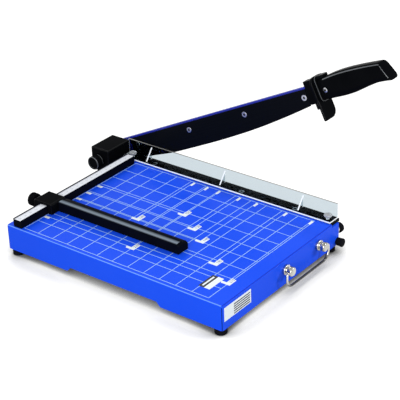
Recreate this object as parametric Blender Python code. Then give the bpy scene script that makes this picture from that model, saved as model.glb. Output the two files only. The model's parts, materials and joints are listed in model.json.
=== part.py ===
"""A guillotine paper cutter: a folded steel table with a fence, a sliding gauge and a lever knife.

Lengths are in metres. While the pieces are laid out, X is 0 at the cut and grows to the operator's
right, Y is 0 at the fence's face and grows away from the operator, and Z is 0 on the desk.
The whole cutter hangs on one empty, which puts the middle of its box over the world's origin.
"""

from math import atan2, cos, hypot, pi, radians, sin, tan, tau

import bmesh
import bpy
from mathutils import Matrix, Vector

# Clearances
GAP = 0.0003
OVERRUN = 0.002

# Base shell
TABLE_WIDTH = 0.2525
TABLE_DEPTH = 0.3493
BASE_HEIGHT = 0.035
SHEET = 0.0015
BEHIND_FENCE = 0.0253
KNIFE_OVERHANG = 0.004
FOLD_RADIUS = 0.0016
CORNER_RADIUS = 0.003
TAB_SIZE = 0.024
NOTCH_RISE = 0.006
NOTCH_FROM_FENCE = 0.078
NOTCH_LENGTH = 0.152
NOTCH_SLOPE = 0.006

# Feet
FOOT_RADIUS = 0.008
FOOT_TAPER = 0.0008
FOOT_STANDS = 0.009
FOOT_INSET = 0.009
FOOT_RECESS_DEPTH = 0.004

# Small screws, which hold the feet, the fence and the housing from inside
SCREW_RADIUS = 0.0016
SCREW_HEAD_RADIUS = 0.0033
SCREW_HEAD_HEIGHT = 0.0018
FOOT_SCREW_LENGTH = 0.0115
FENCE_SCREW_LENGTH = 0.009
HOUSING_SCREW_LENGTH = 0.014
FENCE_SCREW_INSET = 0.022
HOUSING_SCREW_INSET = 0.010
HOUSING_SCREW_DROP = 0.0095

# Lower knife and its countersunk screws
KNIFE_WIDTH = 0.020
KNIFE_THICKNESS = 0.004
KNIFE_END_INSET = 0.002
SINK_RADIUS = 0.0040
SINK_DEPTH = 0.0018
SINK_SHANK_RADIUS = 0.0021
NUT_RADIUS = 0.0042
NUT_HEIGHT = 0.0026
LOWER_SCREW_SHARES = (0.141, 0.571, 0.820)
LOWER_SCREW_ACROSS_SHARE = 0.55

# Fence and ruler
FENCE_DEPTH = 0.014
FENCE_HEIGHT = 0.0116
FENCE_LEFT_INSET = 0.0025
FENCE_TO_GUARD = 0.0047
RULER_WIDTH = 0.0110
RULER_THICKNESS = 0.0006
RULER_SETBACK = 0.0010

# Gauge
GAUGE_FROM_LEFT = 0.065
BLOCK_WIDTH = 0.028
BLOCK_FRONT_LEG = 0.0077
BLOCK_BACK_LEG = 0.0085
BLOCK_HEIGHT = 0.016
BLOCK_CHAMFER = 0.0015
GAUGE_FLOAT = 0.0008
BAR_WIDTH = 0.0195
BAR_LENGTH = 0.2015
BAR_SHIFT = 0.0088
BAR_RIDGE_HEIGHT = 0.0150
BAR_RIDGE_WIDTH = 0.0030
BAR_EDGE_HEIGHT = 0.0112
BAR_NOSE = 0.007
TONGUE_LENGTH = 0.006
TONGUE_WIDTH = 0.010
TONGUE_HEIGHT = 0.007
TONGUE_RISE = 0.003
CLAMP_RADIUS = 0.002
CLAMP_HEIGHT = 0.005
CLAMP_KNOB_RADIUS = 0.0092
CLAMP_KNOB_LENGTH = 0.010
CLAMP_NECK_RADIUS = 0.0048
CLAMP_NECK_LENGTH = 0.003
CLAMP_KNOB_STANDOFF = 0.0052
CLAMP_BITE = 0.0065
KNURL_DEPTH = 0.0006
KNOB_ROUND = 0.0010

# Pivot
PIVOT_BEHIND_FENCE = 0.041
PIVOT_ABOVE_TABLE = 0.006
HOUSING_LEFT = 0.052
HOUSING_RIGHT = 0.0056
HOUSING_DEPTH = 0.032
HOUSING_ABOVE = 0.022
HOUSING_BELOW = 0.0135
HOUSING_ROUND = 0.002
SHAFT_RADIUS = 0.006
STUD_RADIUS = 0.004
SHAFT_HEAD_RADIUS = 0.009
SHAFT_HEAD_HEIGHT = 0.004
SHAFT_HEAD_ROUND = 0.0015
CAP_RADIUS = 0.0098
CAP_LENGTH = 0.0162
CAP_WALL = 0.0023
CAP_END = 0.0045
CAP_THREAD = 0.0018
CAP_ROUND = 0.0010
DISC_COUNT = 6
DISC_THICKNESS = 0.0010
WASHER_RADIUS = 0.010

# Arm, with distances taken along it from the pivot and across it from the pivot's line
REST_ANGLE = radians(26.4)
CLOSED_ANGLE = radians(1.2)
UPPER_KNIFE_THICKNESS = 0.0027
ARM_THICKNESS = 0.005
ARM_TOP = 0.010
ARM_BELOW = 0.013
ARM_REACH = 0.366
ARM_HEEL = 0.014
ARM_HEEL_ROUND = 0.0105
TANG_LENGTH = 0.092
TANG_HEIGHT = 0.012
UPPER_KNIFE_HEEL = 0.015
UPPER_KNIFE_TOP = 0.0075
UPPER_KNIFE_DEPTH = 0.0282
EDGE_BEVEL = 0.0030
KNIFE_EDGE_SHARES = (
    (0.00, 0.70), (0.04, 0.80), (0.11, 0.88), (0.215, 0.98), (0.34, 1.00), (0.46, 1.00),
    (0.55, 0.98), (0.65, 0.937), (0.74, 0.870), (0.82, 0.785), (0.90, 0.686), (1.00, 0.54),
)
UPPER_SCREW_FIRST = 0.012
UPPER_SCREW_LAST = 0.006
UPPER_SCREW_COUNT = 4
UPPER_SCREW_DROP = 0.003

# Collar, hand guard and grip
COLLAR_LENGTH = 0.0177
COLLAR_INSIDE = 0.0005
COLLAR_OUTSIDE = 0.012
COLLAR_TOP = 0.017
COLLAR_BELOW = 0.0226
COLLAR_ROUND = 0.002
COLLAR_FOOT_LENGTH = 0.0112
COLLAR_FOOT_STEP = 0.0081
COLLAR_CORNER = 0.001
HOOK_THICKNESS = 0.003
HOOK_LEFT = 0.010
HOOK_RIGHT = 0.0175
HOOK_BELOW = 0.0374
HOOK_ROUND = 0.011
HOOK_CORNER = 0.002
GUARD_TOP = 0.020
GUARD_ROUND = 0.0085
SOCKET_LENGTH = 0.0035
SOCKET_WIDTH = 0.021
SOCKET_BELOW = 0.0135
SOCKET_ROUND = 0.006
ROOF_REACH = 0.0115
ROOF_WIDTH = 0.013
ROOF_THICKNESS = 0.0030
ROOF_ROUND = 0.004
ROOF_OVER_GRIP_SHARE = 0.895
GRIP_LENGTH = 0.107
GRIP_TOP = 0.0182
GRIP_BELOW = 0.0138
GRIP_HALF_WIDTH = 0.0105
GRIP_MIDDLE = 0.0050
GRIP_STATION_SHARES = (
    (0.000, 0.000, 0.83, 0.88, 0.76), (0.060, 0.060, 0.86, 0.92, 0.86), (0.190, 0.190, 0.95, 0.97, 0.94),
    (0.320, 0.320, 1.00, 1.00, 0.98), (0.450, 0.450, 1.00, 0.96, 1.00), (0.560, 0.545, 0.97, 0.87, 1.00),
    (0.690, 0.680, 0.92, 0.73, 1.00), (0.800, 0.800, 0.86, 0.65, 1.00), (0.870, 0.930, 0.82, 0.72, 1.00),
    (0.900, 0.985, 0.77, 0.77, 0.96), (0.908, 0.997, 0.66, 0.66, 0.86),
)
GRIP_SQUARE_SHARE = 0.62
GRIP_SCREW_ALONG = 0.0072
GRIP_SCREW_RADIUS = 0.0020
GRIP_SCREW_HEAD = 0.0037
GRIP_SCREW_DEPTH = 0.0020
GRIP_SCREW_REACH = 0.0040

# Clear safety guard and its thumb screws
CLEAR_SHEET = 0.002
PAPER_GAP = 0.0018
CLEAR_FROM_CUT = 0.0032
CLEAR_FLANGE = 0.0191
CLEAR_HEIGHT = 0.0230
CLEAR_FRONT_INSET = 0.0018
CLEAR_PAST_TABLE = 0.0027
GUSSET_SHARES = (0.115, 0.482, 0.845)
GUSSET_RUN = 0.0130
GUSSET_RISE = 0.0165
THUMB_RADIUS = 0.0056
THUMB_HEIGHT = 0.0080
THUMB_SHANK_RADIUS = 0.002
THUMB_SHANK_LENGTH = 0.014
THUMB_FROM_CUT = 0.013
THUMB_FRONT_INSET = 0.011
THUMB_BACK_INSET = 0.0113
THUMB_ROUND = 0.0008
SPACER_RADIUS = 0.0040

# Carry handle
POST_FROM_CUT = 0.0525
POST_PITCH = 0.0735
POST_BELOW_TABLE = 0.014
POST_FLANGE_RADIUS = 0.0070
POST_FLANGE_HEIGHT = 0.0035
POST_NECK_RADIUS = 0.0042
POST_HEAD_RADIUS = 0.0062
POST_LENGTH = 0.0125
POST_HEAD_LENGTH = 0.0070
POST_ROUND = 0.0018
POST_STEM_RADIUS = 0.0025
POST_RIVET_RADIUS = 0.0045
POST_RIVET_HEIGHT = 0.0018
BAIL_WIRE_RADIUS = 0.0016
BAIL_DROP = 0.0200
BAIL_CORNER = 0.0120
BAIL_BITE = 0.0030

# Stops on which the arm lands
STOP_FROM_FRONT = 0.005
RING_RADIUS = 0.0070
RING_LENGTH = 0.006
RING_FROM_CUT = 0.0008
STOP_STUD_RADIUS = 0.0048
STOP_STUD_END = 0.001
STOP_STEM_RADIUS = 0.0019
STOP_RIVET_RADIUS = 0.0028
STOP_RIVET_HEIGHT = 0.0016
BUFFER_RADIUS = 0.0053
BUFFER_LENGTH = 0.009
BUFFER_FLARE = 0.0005
BUFFER_STEM_RADIUS = 0.0016
BUFFER_BARB = 0.0003
BUFFER_BARB_HEIGHT = 0.0018

# Counts of sides on round pieces
ROUND_SIDES = 24
SMALL_SIDES = 12
WIRE_SIDES = 8
NUT_SIDES = 24
KNURL_SIDES = 48
ARC_STEPS = 4

# Places worked out from the sizes
shell_right = -KNIFE_OVERHANG
shell_left = shell_right - TABLE_WIDTH
shell_back = BEHIND_FENCE
shell_front = shell_back - TABLE_DEPTH
shell_bottom = FOOT_STANDS
table_top = shell_bottom + BASE_HEIGHT
ledge_top = table_top - KNIFE_THICKNESS - GAP
ledge_underside = ledge_top - SHEET
fence_left = shell_left + FENCE_LEFT_INSET
pivot_y = PIVOT_BEHIND_FENCE
pivot_z = table_top + PIVOT_ABOVE_TABLE
housing_front = shell_back + GAP
housing_back = housing_front + HOUSING_DEPTH
upper_knife_left = GAP
upper_knife_end = ARM_REACH - COLLAR_LENGTH - GAP
arm_left = upper_knife_left + UPPER_KNIFE_THICKNESS + GAP
arm_right = arm_left + ARM_THICKNESS
guard_start = ARM_REACH + OVERRUN / 2
grip_start = guard_start + HOOK_THICKNESS + SOCKET_LENGTH + GAP
fence_right = -CLEAR_FROM_CUT - CLEAR_FLANGE - FENCE_TO_GUARD
gauge_x = shell_left + GAUGE_FROM_LEFT
clamp_z = table_top + CLAMP_HEIGHT
clear_bottom = table_top + PAPER_GAP
clear_top = clear_bottom + CLEAR_SHEET


def colour_material(name, colour, roughness, metallic, alpha):
    """A Principled material of one colour."""
    made = bpy.data.materials.new(name)
    made.use_nodes = True
    shader = made.node_tree.nodes["Principled BSDF"]
    shader.inputs["Base Color"].default_value = (*colour, 1.0)
    shader.inputs["Roughness"].default_value = roughness
    shader.inputs["Metallic"].default_value = metallic
    shader.inputs["Alpha"].default_value = alpha
    made.diffuse_color = (*colour, alpha)
    return made


def clear_scene():
    """Remove every object, so that the cutter stands alone."""
    for old in list(bpy.data.objects):
        bpy.data.objects.remove(old, do_unlink=True)


def empty(name, parent, location, rotation):
    """An empty that marks an axis and carries the pieces that turn about it."""
    marker = bpy.data.objects.new(name, None)
    marker.location = location
    marker.rotation_euler = rotation
    marker.parent = parent
    bpy.context.collection.objects.link(marker)
    return marker


def spot(axis, along, first, second):
    """A point from its place along an axis and its two places across, in X, Y, Z order."""
    if axis == "X":
        return (along, first, second)
    if axis == "Y":
        return (first, along, second)
    return (first, second, along)


def closed(mesh):
    """Turn every face outwards."""
    bmesh.ops.recalc_face_normals(mesh, faces=mesh.faces)
    return mesh


def loft(rings):
    """A solid through rings of points that match one to one, with a flat face at each end."""
    mesh = bmesh.new()
    loops = [[mesh.verts.new(point) for point in ring] for ring in rings]
    for low, high in zip(loops, loops[1:]):
        for index in range(len(low)):
            after = (index + 1) % len(low)
            mesh.faces.new((low[index], low[after], high[after], high[index]))
    mesh.faces.new(loops[0])
    mesh.faces.new(loops[-1])
    return closed(mesh)


def prism(axis, outline, start, end, end_outline=None):
    """An outline pushed straight along an axis; the far outline may differ from the near one."""
    far = end_outline or outline
    near_ring = [spot(axis, start, *point) for point in outline]
    far_ring = [spot(axis, end, *point) for point in far]
    return loft((near_ring, far_ring))


def block(low, high):
    """A plain box between two corners."""
    outline = ((low[0], low[1]), (high[0], low[1]), (high[0], high[1]), (low[0], high[1]))
    return prism("Z", outline, low[2], high[2])


def rounded(corners):
    """An outline whose corners, each with its own radius, become arcs."""
    outline = []
    for index, (first, second, radius) in enumerate(corners):
        here = Vector((first, second))
        before = Vector(corners[index - 1][:2])
        after = Vector(corners[(index + 1) % len(corners)][:2])
        if radius == 0:
            outline.append(tuple(here))
            continue
        back = (before - here).normalized()
        ahead = (after - here).normalized()
        half = back.angle(ahead) / 2
        centre = here + (back + ahead).normalized() * radius / sin(half)
        start = here + back * radius / tan(half) - centre
        turn = start.angle_signed(here + ahead * radius / tan(half) - centre)
        for step in range(ARC_STEPS + 1):
            outline.append(tuple(centre + Matrix.Rotation(-turn * step / ARC_STEPS, 2) @ start))
    return outline


def turned(axis, centre, profile, sides, ring=False):
    """A solid turned about an axis through centre, from a profile of (radius, place along the axis)."""
    mesh = bmesh.new()
    loops = []
    for radius, along in profile:
        if radius == 0:
            loops.append([mesh.verts.new(spot(axis, along, *centre))])
            continue
        loop = []
        for index in range(sides):
            angle = tau * index / sides
            point = (centre[0] + radius * cos(angle), centre[1] + radius * sin(angle))
            loop.append(mesh.verts.new(spot(axis, along, *point)))
        loops.append(loop)
    following = loops[1:] + loops[:1] if ring else loops[1:]
    for low, high in zip(loops, following):
        for index in range(sides):
            after = (index + 1) % sides
            corners = [low[index % len(low)], low[after % len(low)]]
            corners += [high[after % len(high)], high[index % len(high)]]
            mesh.faces.new(list(dict.fromkeys(corners)))
    return closed(mesh)


def rod(axis, centre, radius, start, end, sides=SMALL_SIDES):
    """A plain round bar between two places along an axis."""
    profile = ((0, start), (radius, start), (radius, end), (0, end))
    return turned(axis, centre, profile, sides)


def round_edges(mesh, radius, segments, wanted):
    """Round the edges whose two ends both satisfy a test."""
    edges = [edge for edge in mesh.edges if wanted(edge.verts[0].co, edge.verts[1].co)]
    bmesh.ops.bevel(mesh, geom=edges, offset=radius, segments=segments, profile=0.5, affect="EDGES")
    return closed(mesh)


def near(one, other):
    """Whether two places are the same but for rounding."""
    return abs(one - other) < GAP / 10


def object_from(name, mesh, parent):
    """A mesh object under its parent, in the parent's own frame."""
    data = bpy.data.meshes.new(name)
    mesh.to_mesh(data)
    mesh.free()
    made = bpy.data.objects.new(name, data)
    made.parent = parent
    bpy.context.collection.objects.link(made)
    return made


def piece(name, mesh, material, parent):
    """One physical piece: a named object with its material, smooth where it is round."""
    made = object_from(name, mesh, parent)
    made.data.materials.append(material)
    made.data.shade_smooth()
    made.data.set_sharp_from_angle(angle=radians(40))
    return made


def combine(target, meshes, operation):
    """Cut meshes from a piece, or fuse them to it."""
    for index, mesh in enumerate(meshes):
        tool = object_from(f"{target.name}_{operation.lower()}_{index}", mesh, target.parent)
        tool.hide_render = True
        tool.display_type = "WIRE"
        modifier = target.modifiers.new(f"{operation.title()} {index}", "BOOLEAN")
        modifier.operation = operation
        modifier.object = tool
    return target


def cut(target, *meshes):
    """Take meshes away from a piece."""
    return combine(target, meshes, "DIFFERENCE")


def fuse(target, *meshes):
    """Add meshes to a piece."""
    return combine(target, meshes, "UNION")


def merged(meshes):
    """Several separate closed meshes as one, for a cut that is made in one go."""
    whole = bmesh.new()
    for mesh in meshes:
        data = bpy.data.meshes.new("merge")
        mesh.to_mesh(data)
        mesh.free()
        whole.from_mesh(data)
        bpy.data.meshes.remove(data)
    return whole


def headed_screw(name, axis, centre, seat, reach, material, parent, inward=1):
    """A pan-head screw whose head rests on a seat and whose shank runs on by its reach."""
    head = seat - inward * (GAP + SCREW_HEAD_HEIGHT)
    neck = seat - inward * GAP
    tip = seat + inward * reach
    profile = ((0, head), (SCREW_HEAD_RADIUS, head), (SCREW_HEAD_RADIUS, neck))
    profile += ((SCREW_RADIUS, neck), (SCREW_RADIUS, tip), (0, tip))
    return piece(name, turned(axis, centre, profile, SMALL_SIDES), material, parent)


def sunk_profile(face, inward, reach, clearance):
    """The profile of a countersunk screw from its flush face, swollen by a clearance for its hole."""
    rim = face - inward * (OVERRUN if clearance else 0)
    neck = face + inward * (SINK_DEPTH + clearance)
    tip = face + inward * (reach + clearance)
    head = SINK_RADIUS + clearance
    shank = SINK_SHANK_RADIUS + clearance
    return ((0, rim), (head, rim), (head, face), (shank, neck), (shank, tip), (0, tip))


def flush_screw_profile(face, inward, reach):
    """The profile of the countersunk screw itself, its face just under the surface."""
    neck = face + inward * SINK_DEPTH
    tip = face + inward * reach
    return ((0, face), (SINK_RADIUS, face), (SINK_SHANK_RADIUS, neck), (SINK_SHANK_RADIUS, tip), (0, tip))


def foot_centres():
    """The four feet, each set in from its corner of the shell."""
    return [
        (x, y)
        for x in (shell_left + FOOT_INSET, shell_right - FOOT_INSET)
        for y in (shell_front + FOOT_INSET, shell_back - FOOT_INSET)
    ]


def lower_screw_centres():
    """The screws of the lower knife, along the knife."""
    across = -LOWER_SCREW_ACROSS_SHARE * KNIFE_WIDTH
    return [(across, shell_back - share * TABLE_DEPTH) for share in LOWER_SCREW_SHARES]


def thumb_centres():
    """The front and back thumb screws of the clear guard."""
    return {
        "front": (-THUMB_FROM_CUT, shell_front + THUMB_FRONT_INSET),
        "back": (-THUMB_FROM_CUT, shell_back - THUMB_BACK_INSET),
    }


def fence_screw_centres():
    """The two screws that hold the fence from under the table."""
    middle = FENCE_DEPTH / 2
    return [(fence_left + FENCE_SCREW_INSET, middle), (fence_right - FENCE_SCREW_INSET, middle)]


def housing_screw_centres():
    """The two screws that hold the pivot housing to the back wall, as (X, Z)."""
    height = table_top - HOUSING_SCREW_DROP
    return [(-HOUSING_LEFT + HOUSING_SCREW_INSET, height), (-HOUSING_RIGHT - HOUSING_SCREW_INSET, height)]


def post_centres():
    """The two carry-handle posts on the front wall, as (X, Z)."""
    height = table_top - POST_BELOW_TABLE
    return {"left": (-POST_FROM_CUT - POST_PITCH, height), "right": (-POST_FROM_CUT, height)}


def closed_height(along, across):
    """How high a point of the arm stands when the arm is down."""
    return pivot_z + along * sin(CLOSED_ANGLE) + across * cos(CLOSED_ANGLE)


def stop_centre():
    """The stop on the right wall, as (Y, Z), with its ring just under the collar of the closed arm."""
    y = shell_front + STOP_FROM_FRONT
    along = (pivot_y - y) / cos(CLOSED_ANGLE)
    return y, closed_height(along, -COLLAR_BELOW) - GAP - RING_RADIUS


def buffer_centre():
    """The rubber buffer on the front wall, as (X, Z), just under the hook of the closed arm."""
    x = shell_right - SHEET - GAP - BUFFER_STEM_RADIUS - BUFFER_BARB
    return x, closed_height(guard_start, -HOOK_BELOW) - GAP - BUFFER_RADIUS - BUFFER_FLARE


def shell_blank():
    """The outside of the folded shell, with its left corners and then its top edges rounded."""
    step = -KNIFE_WIDTH - GAP
    outline = [(shell_left, shell_bottom), (shell_right, shell_bottom), (shell_right, ledge_top)]
    outline += [(step, ledge_top), (step, table_top), (shell_left, table_top)]
    blank = prism("Y", outline, shell_front, shell_back)

    def upright(one, other):
        return near(one.x, shell_left) and near(other.x, shell_left) and near(one.y, other.y)

    def folded(one, other):
        top = near(one.z, table_top) and near(other.z, table_top)
        inner = near(one.x, step) and near(other.x, step)
        return top and not inner

    return round_edges(round_edges(blank, CORNER_RADIUS, 3, upright), FOLD_RADIUS, 2, folded)


def shell_hollow():
    """The space inside the shell, above the foot tabs."""
    left = shell_left + SHEET
    right = shell_right - SHEET
    floor = shell_bottom + SHEET
    step = -KNIFE_WIDTH - GAP - SHEET
    outline = [(left, floor), (right, floor), (right, ledge_underside)]
    outline += [(step, ledge_underside), (step, table_top - SHEET), (left, table_top - SHEET)]
    return prism("Y", outline, shell_front + SHEET, shell_back - SHEET)


def shell_mouth():
    """The opening below, which leaves a tab in each corner for a foot."""
    left = shell_left + SHEET
    right = shell_right - SHEET
    front = shell_front + SHEET
    back = shell_back - SHEET
    outline = [(left + TAB_SIZE, front), (right - TAB_SIZE, front), (right - TAB_SIZE, front + TAB_SIZE)]
    outline += [(right, front + TAB_SIZE), (right, back - TAB_SIZE), (right - TAB_SIZE, back - TAB_SIZE)]
    outline += [(right - TAB_SIZE, back), (left + TAB_SIZE, back), (left + TAB_SIZE, back - TAB_SIZE)]
    outline += [(left, back - TAB_SIZE), (left, front + TAB_SIZE), (left + TAB_SIZE, front + TAB_SIZE)]
    return prism("Z", outline, shell_bottom - OVERRUN, shell_bottom + SHEET + OVERRUN)


def shell_notch():
    """The raised lower edge of the left wall."""
    start = -NOTCH_FROM_FENCE
    end = start - NOTCH_LENGTH
    top = shell_bottom + NOTCH_RISE
    foot = shell_bottom - OVERRUN
    outline = [(start, foot), (start, shell_bottom), (start - NOTCH_SLOPE, top)]
    outline += [(end + NOTCH_SLOPE, top), (end, shell_bottom), (end, foot)]
    return prism("X", outline, shell_left - OVERRUN, shell_left + SHEET + OVERRUN)


def shell_holes():
    """Every screw, stem and rivet hole in the shell."""
    holes = []
    tab = (shell_bottom - OVERRUN, shell_bottom + SHEET + OVERRUN)
    ledge = (ledge_underside - OVERRUN, ledge_top + OVERRUN)
    top = (table_top - SHEET - OVERRUN, table_top + OVERRUN)
    back = (shell_back - SHEET - OVERRUN, shell_back + OVERRUN)
    front = (shell_front - OVERRUN, shell_front + SHEET + OVERRUN)
    right = (shell_right - SHEET - OVERRUN, shell_right + OVERRUN)
    holes += [rod("Z", centre, SCREW_RADIUS + GAP, *tab) for centre in foot_centres()]
    holes += [rod("Z", centre, SINK_SHANK_RADIUS + GAP, *ledge) for centre in lower_screw_centres()]
    holes += [rod("Z", centre, THUMB_SHANK_RADIUS + GAP, *ledge) for centre in thumb_centres().values()]
    holes += [rod("Z", centre, SCREW_RADIUS + GAP, *top) for centre in fence_screw_centres()]
    holes += [rod("Y", centre, SCREW_RADIUS + GAP, *back) for centre in housing_screw_centres()]
    holes += [rod("Y", centre, POST_STEM_RADIUS + GAP, *front) for centre in post_centres().values()]
    holes.append(rod("Y", buffer_centre(), BUFFER_STEM_RADIUS + GAP, *front))
    holes.append(rod("X", stop_centre(), STOP_STEM_RADIUS + GAP, *right))
    return merged(holes)


def make_base_shell(root, paint):
    """The folded sheet-steel table."""
    shell = piece("base_shell", shell_blank(), paint, root)
    return cut(shell, shell_hollow(), shell_mouth(), shell_notch(), shell_holes())


def make_feet(root, rubber, zinc):
    """Four rubber feet, each held by a screw from below."""
    bore = SCREW_RADIUS + GAP
    recess = SCREW_HEAD_RADIUS + GAP
    top = FOOT_STANDS - GAP
    taper = FOOT_RADIUS - FOOT_TAPER
    profile = [(recess, 0), (taper, 0), (FOOT_RADIUS, FOOT_TAPER), (FOOT_RADIUS, top)]
    profile += [(bore, top), (bore, FOOT_RECESS_DEPTH), (recess, FOOT_RECESS_DEPTH)]
    for number, centre in enumerate(foot_centres(), 1):
        piece(f"foot_{number}", turned("Z", centre, profile, ROUND_SIDES, ring=True), rubber, root)
        name = f"foot_screw_{number}"
        headed_screw(name, "Z", centre, FOOT_RECESS_DEPTH, FOOT_SCREW_LENGTH, zinc, root)


def make_lower_knife(root, black_steel, zinc):
    """The lower knife, let in flush with the table and screwed down."""
    low = (-KNIFE_WIDTH, shell_front + KNIFE_END_INSET, table_top - KNIFE_THICKNESS)
    knife = piece("lower_knife", block(low, (0, shell_back, table_top)), black_steel, root)
    reach = KNIFE_THICKNESS + GAP + SHEET + GAP + NUT_HEIGHT
    bottom = table_top - KNIFE_THICKNESS
    holes = []
    for centre in lower_screw_centres():
        profile = sunk_profile(table_top, -1, KNIFE_THICKNESS + OVERRUN, GAP)
        holes.append(turned("Z", centre, profile, SMALL_SIDES))
    for centre in thumb_centres().values():
        holes.append(rod("Z", centre, THUMB_SHANK_RADIUS + GAP, bottom - OVERRUN, table_top + OVERRUN))
    cut(knife, merged(holes))
    nut_top = ledge_underside - GAP
    nut_bore = SINK_SHANK_RADIUS + GAP
    for number, centre in enumerate(lower_screw_centres(), 1):
        profile = flush_screw_profile(table_top, -1, reach)
        piece(f"lower_knife_screw_{number}", turned("Z", centre, profile, SMALL_SIDES), zinc, root)
        bottom = nut_top - NUT_HEIGHT
        nut = ((nut_bore, bottom), (NUT_RADIUS, bottom), (NUT_RADIUS, nut_top), (nut_bore, nut_top))
        piece(f"lower_knife_nut_{number}", hex_nut(centre, nut), zinc, root)


def hex_nut(centre, profile):
    """A six-sided nut with a round bore, turned up from a ring profile."""
    mesh = bmesh.new()
    loops = []
    for index, (radius, along) in enumerate(profile):
        outer = index in (1, 2)
        loop = []
        for side in range(NUT_SIDES):
            angle = tau * side / NUT_SIDES
            flat = (angle + pi / 6) % (pi / 3) - pi / 6
            reach = radius * cos(pi / 6) / cos(pi / 6 - abs(flat)) if outer else radius
            point = (centre[0] + reach * cos(angle), centre[1] + reach * sin(angle))
            loop.append(mesh.verts.new((*point, along)))
        loops.append(loop)
    for low, high in zip(loops, loops[1:] + loops[:1]):
        for side in range(len(low)):
            after = (side + 1) % len(low)
            mesh.faces.new((low[side], low[after], high[after], high[side]))
    return closed(mesh)


def make_fence(root, black_metal, ruler_white, zinc):
    """The fence, with its ruler strip in a groove and two screws from below."""
    low = table_top + GAP
    high = table_top + FENCE_HEIGHT
    floor = high - RULER_THICKNESS - GAP
    near_side = RULER_SETBACK - GAP
    far_side = RULER_SETBACK + RULER_WIDTH + GAP
    outline = [(0, low), (FENCE_DEPTH, low), (FENCE_DEPTH, high), (far_side, high)]
    outline += [(far_side, floor), (near_side, floor), (near_side, high), (0, high)]
    rail = piece("fence_rail", prism("X", outline, fence_left, fence_right), black_metal, root)
    depth = low + FENCE_SCREW_LENGTH - SHEET + GAP
    bore = SCREW_RADIUS + GAP
    cut(rail, merged([rod("Z", centre, bore, low - OVERRUN, depth) for centre in fence_screw_centres()]))
    start = (fence_left, RULER_SETBACK, high - RULER_THICKNESS)
    end = (fence_right, RULER_SETBACK + RULER_WIDTH, high)
    piece("fence_ruler", block(start, end), ruler_white, root)
    for number, centre in enumerate(fence_screw_centres(), 1):
        seat = table_top - SHEET
        headed_screw(f"fence_screw_{number}", "Z", centre, seat, FENCE_SCREW_LENGTH, zinc, root)


def tongue(clearance):
    """The tongue on the gauge bar that enters the block, or its pocket when given a clearance."""
    half = TONGUE_WIDTH / 2 + clearance
    front = -BLOCK_FRONT_LEG - GAP - (OVERRUN if clearance else GAP)
    back = -BLOCK_FRONT_LEG - GAP + TONGUE_LENGTH + clearance
    low = table_top + TONGUE_RISE - clearance
    high = table_top + TONGUE_RISE + TONGUE_HEIGHT + clearance
    middle = gauge_x + BAR_SHIFT / 2
    return block((middle - half, front, low), (middle + half, back, high))


def make_gauge(root, black_plastic, black_metal, zinc):
    """The paper gauge: a block that straddles the fence, a long bar, and a clamp screw with its knob."""
    slide = empty("gauge_slide", root, (0, 0, 0), (0, 0, 0))
    low = table_top + GAUGE_FLOAT
    high = table_top + BLOCK_HEIGHT
    roof = table_top + FENCE_HEIGHT + GAP
    front = -GAP - BLOCK_FRONT_LEG
    back = FENCE_DEPTH + GAP + BLOCK_BACK_LEG
    outline = [(front, low), (-GAP, low), (-GAP, roof), (FENCE_DEPTH + GAP, roof)]
    outline += [(FENCE_DEPTH + GAP, low), (back, low), (back, high - BLOCK_CHAMFER)]
    outline += [(back - BLOCK_CHAMFER, high), (front + BLOCK_CHAMFER, high), (front, high - BLOCK_CHAMFER)]
    left = gauge_x - BLOCK_WIDTH / 2
    right = gauge_x + BLOCK_WIDTH / 2
    saddle = piece("gauge_block", prism("X", outline, left, right), black_plastic, slide)
    bore = rod("Y", (gauge_x, clamp_z), CLAMP_RADIUS + GAP, FENCE_DEPTH, back + OVERRUN)
    cut(saddle, tongue(GAP), bore)
    make_gauge_bar(slide, black_metal, front - GAP)
    make_clamp(slide, black_plastic, zinc, back)


def make_gauge_bar(slide, black_metal, back):
    """The bar itself, ridged along its left edge and sloped off at its nose."""
    left = gauge_x - BAR_WIDTH / 2 + BAR_SHIFT
    right = gauge_x + BAR_WIDTH / 2 + BAR_SHIFT
    low = table_top + GAUGE_FLOAT
    ridge = table_top + BAR_RIDGE_HEIGHT
    edge = table_top + BAR_EDGE_HEIGHT
    section = [(left, low), (right, low), (right, edge)]
    section += [(left + BAR_RIDGE_WIDTH, ridge), (left, ridge)]
    nose = [(x, low + (z - low) * BAR_NOSE / BAR_RIDGE_HEIGHT) for x, z in section]
    front = back - BAR_LENGTH
    rings = [[spot("Y", back, *point) for point in section]]
    rings.append([spot("Y", front + BAR_NOSE, *point) for point in section])
    rings.append([spot("Y", front, *point) for point in nose])
    bar = piece("gauge_bar", loft(rings), black_metal, slide)
    return fuse(bar, tongue(0))


def make_clamp(slide, black_plastic, zinc, leg_back):
    """The clamp screw, which presses on the back of the fence, and its knurled knob."""
    axis = empty("gauge_knob_axis", slide, (gauge_x, leg_back, clamp_z), (0, 0, 0))
    foot = FENCE_DEPTH + GAP - leg_back
    neck = CLAMP_KNOB_STANDOFF
    face = neck + CLAMP_NECK_LENGTH
    end = face + CLAMP_KNOB_LENGTH
    bite = neck + CLAMP_BITE
    bore = CLAMP_RADIUS + GAP
    piece("gauge_screw", rod("Y", (0, 0), CLAMP_RADIUS, foot + GAP, bite - GAP), zinc, axis)
    rim = CLAMP_KNOB_RADIUS - KNOB_ROUND
    profile = [(0, bite), (bore, bite), (bore, neck), (CLAMP_NECK_RADIUS, neck), (CLAMP_NECK_RADIUS, face)]
    profile += [(rim, face), (CLAMP_KNOB_RADIUS, face + KNOB_ROUND)]
    profile += [(CLAMP_KNOB_RADIUS, end - KNOB_ROUND), (rim, end), (0, end)]
    knob = turned("Y", (0, 0), profile, KNURL_SIDES)
    for vertex in knob.verts:
        flute_knob_vertex(vertex)
    piece("gauge_knob", knob, black_plastic, axis)


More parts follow.
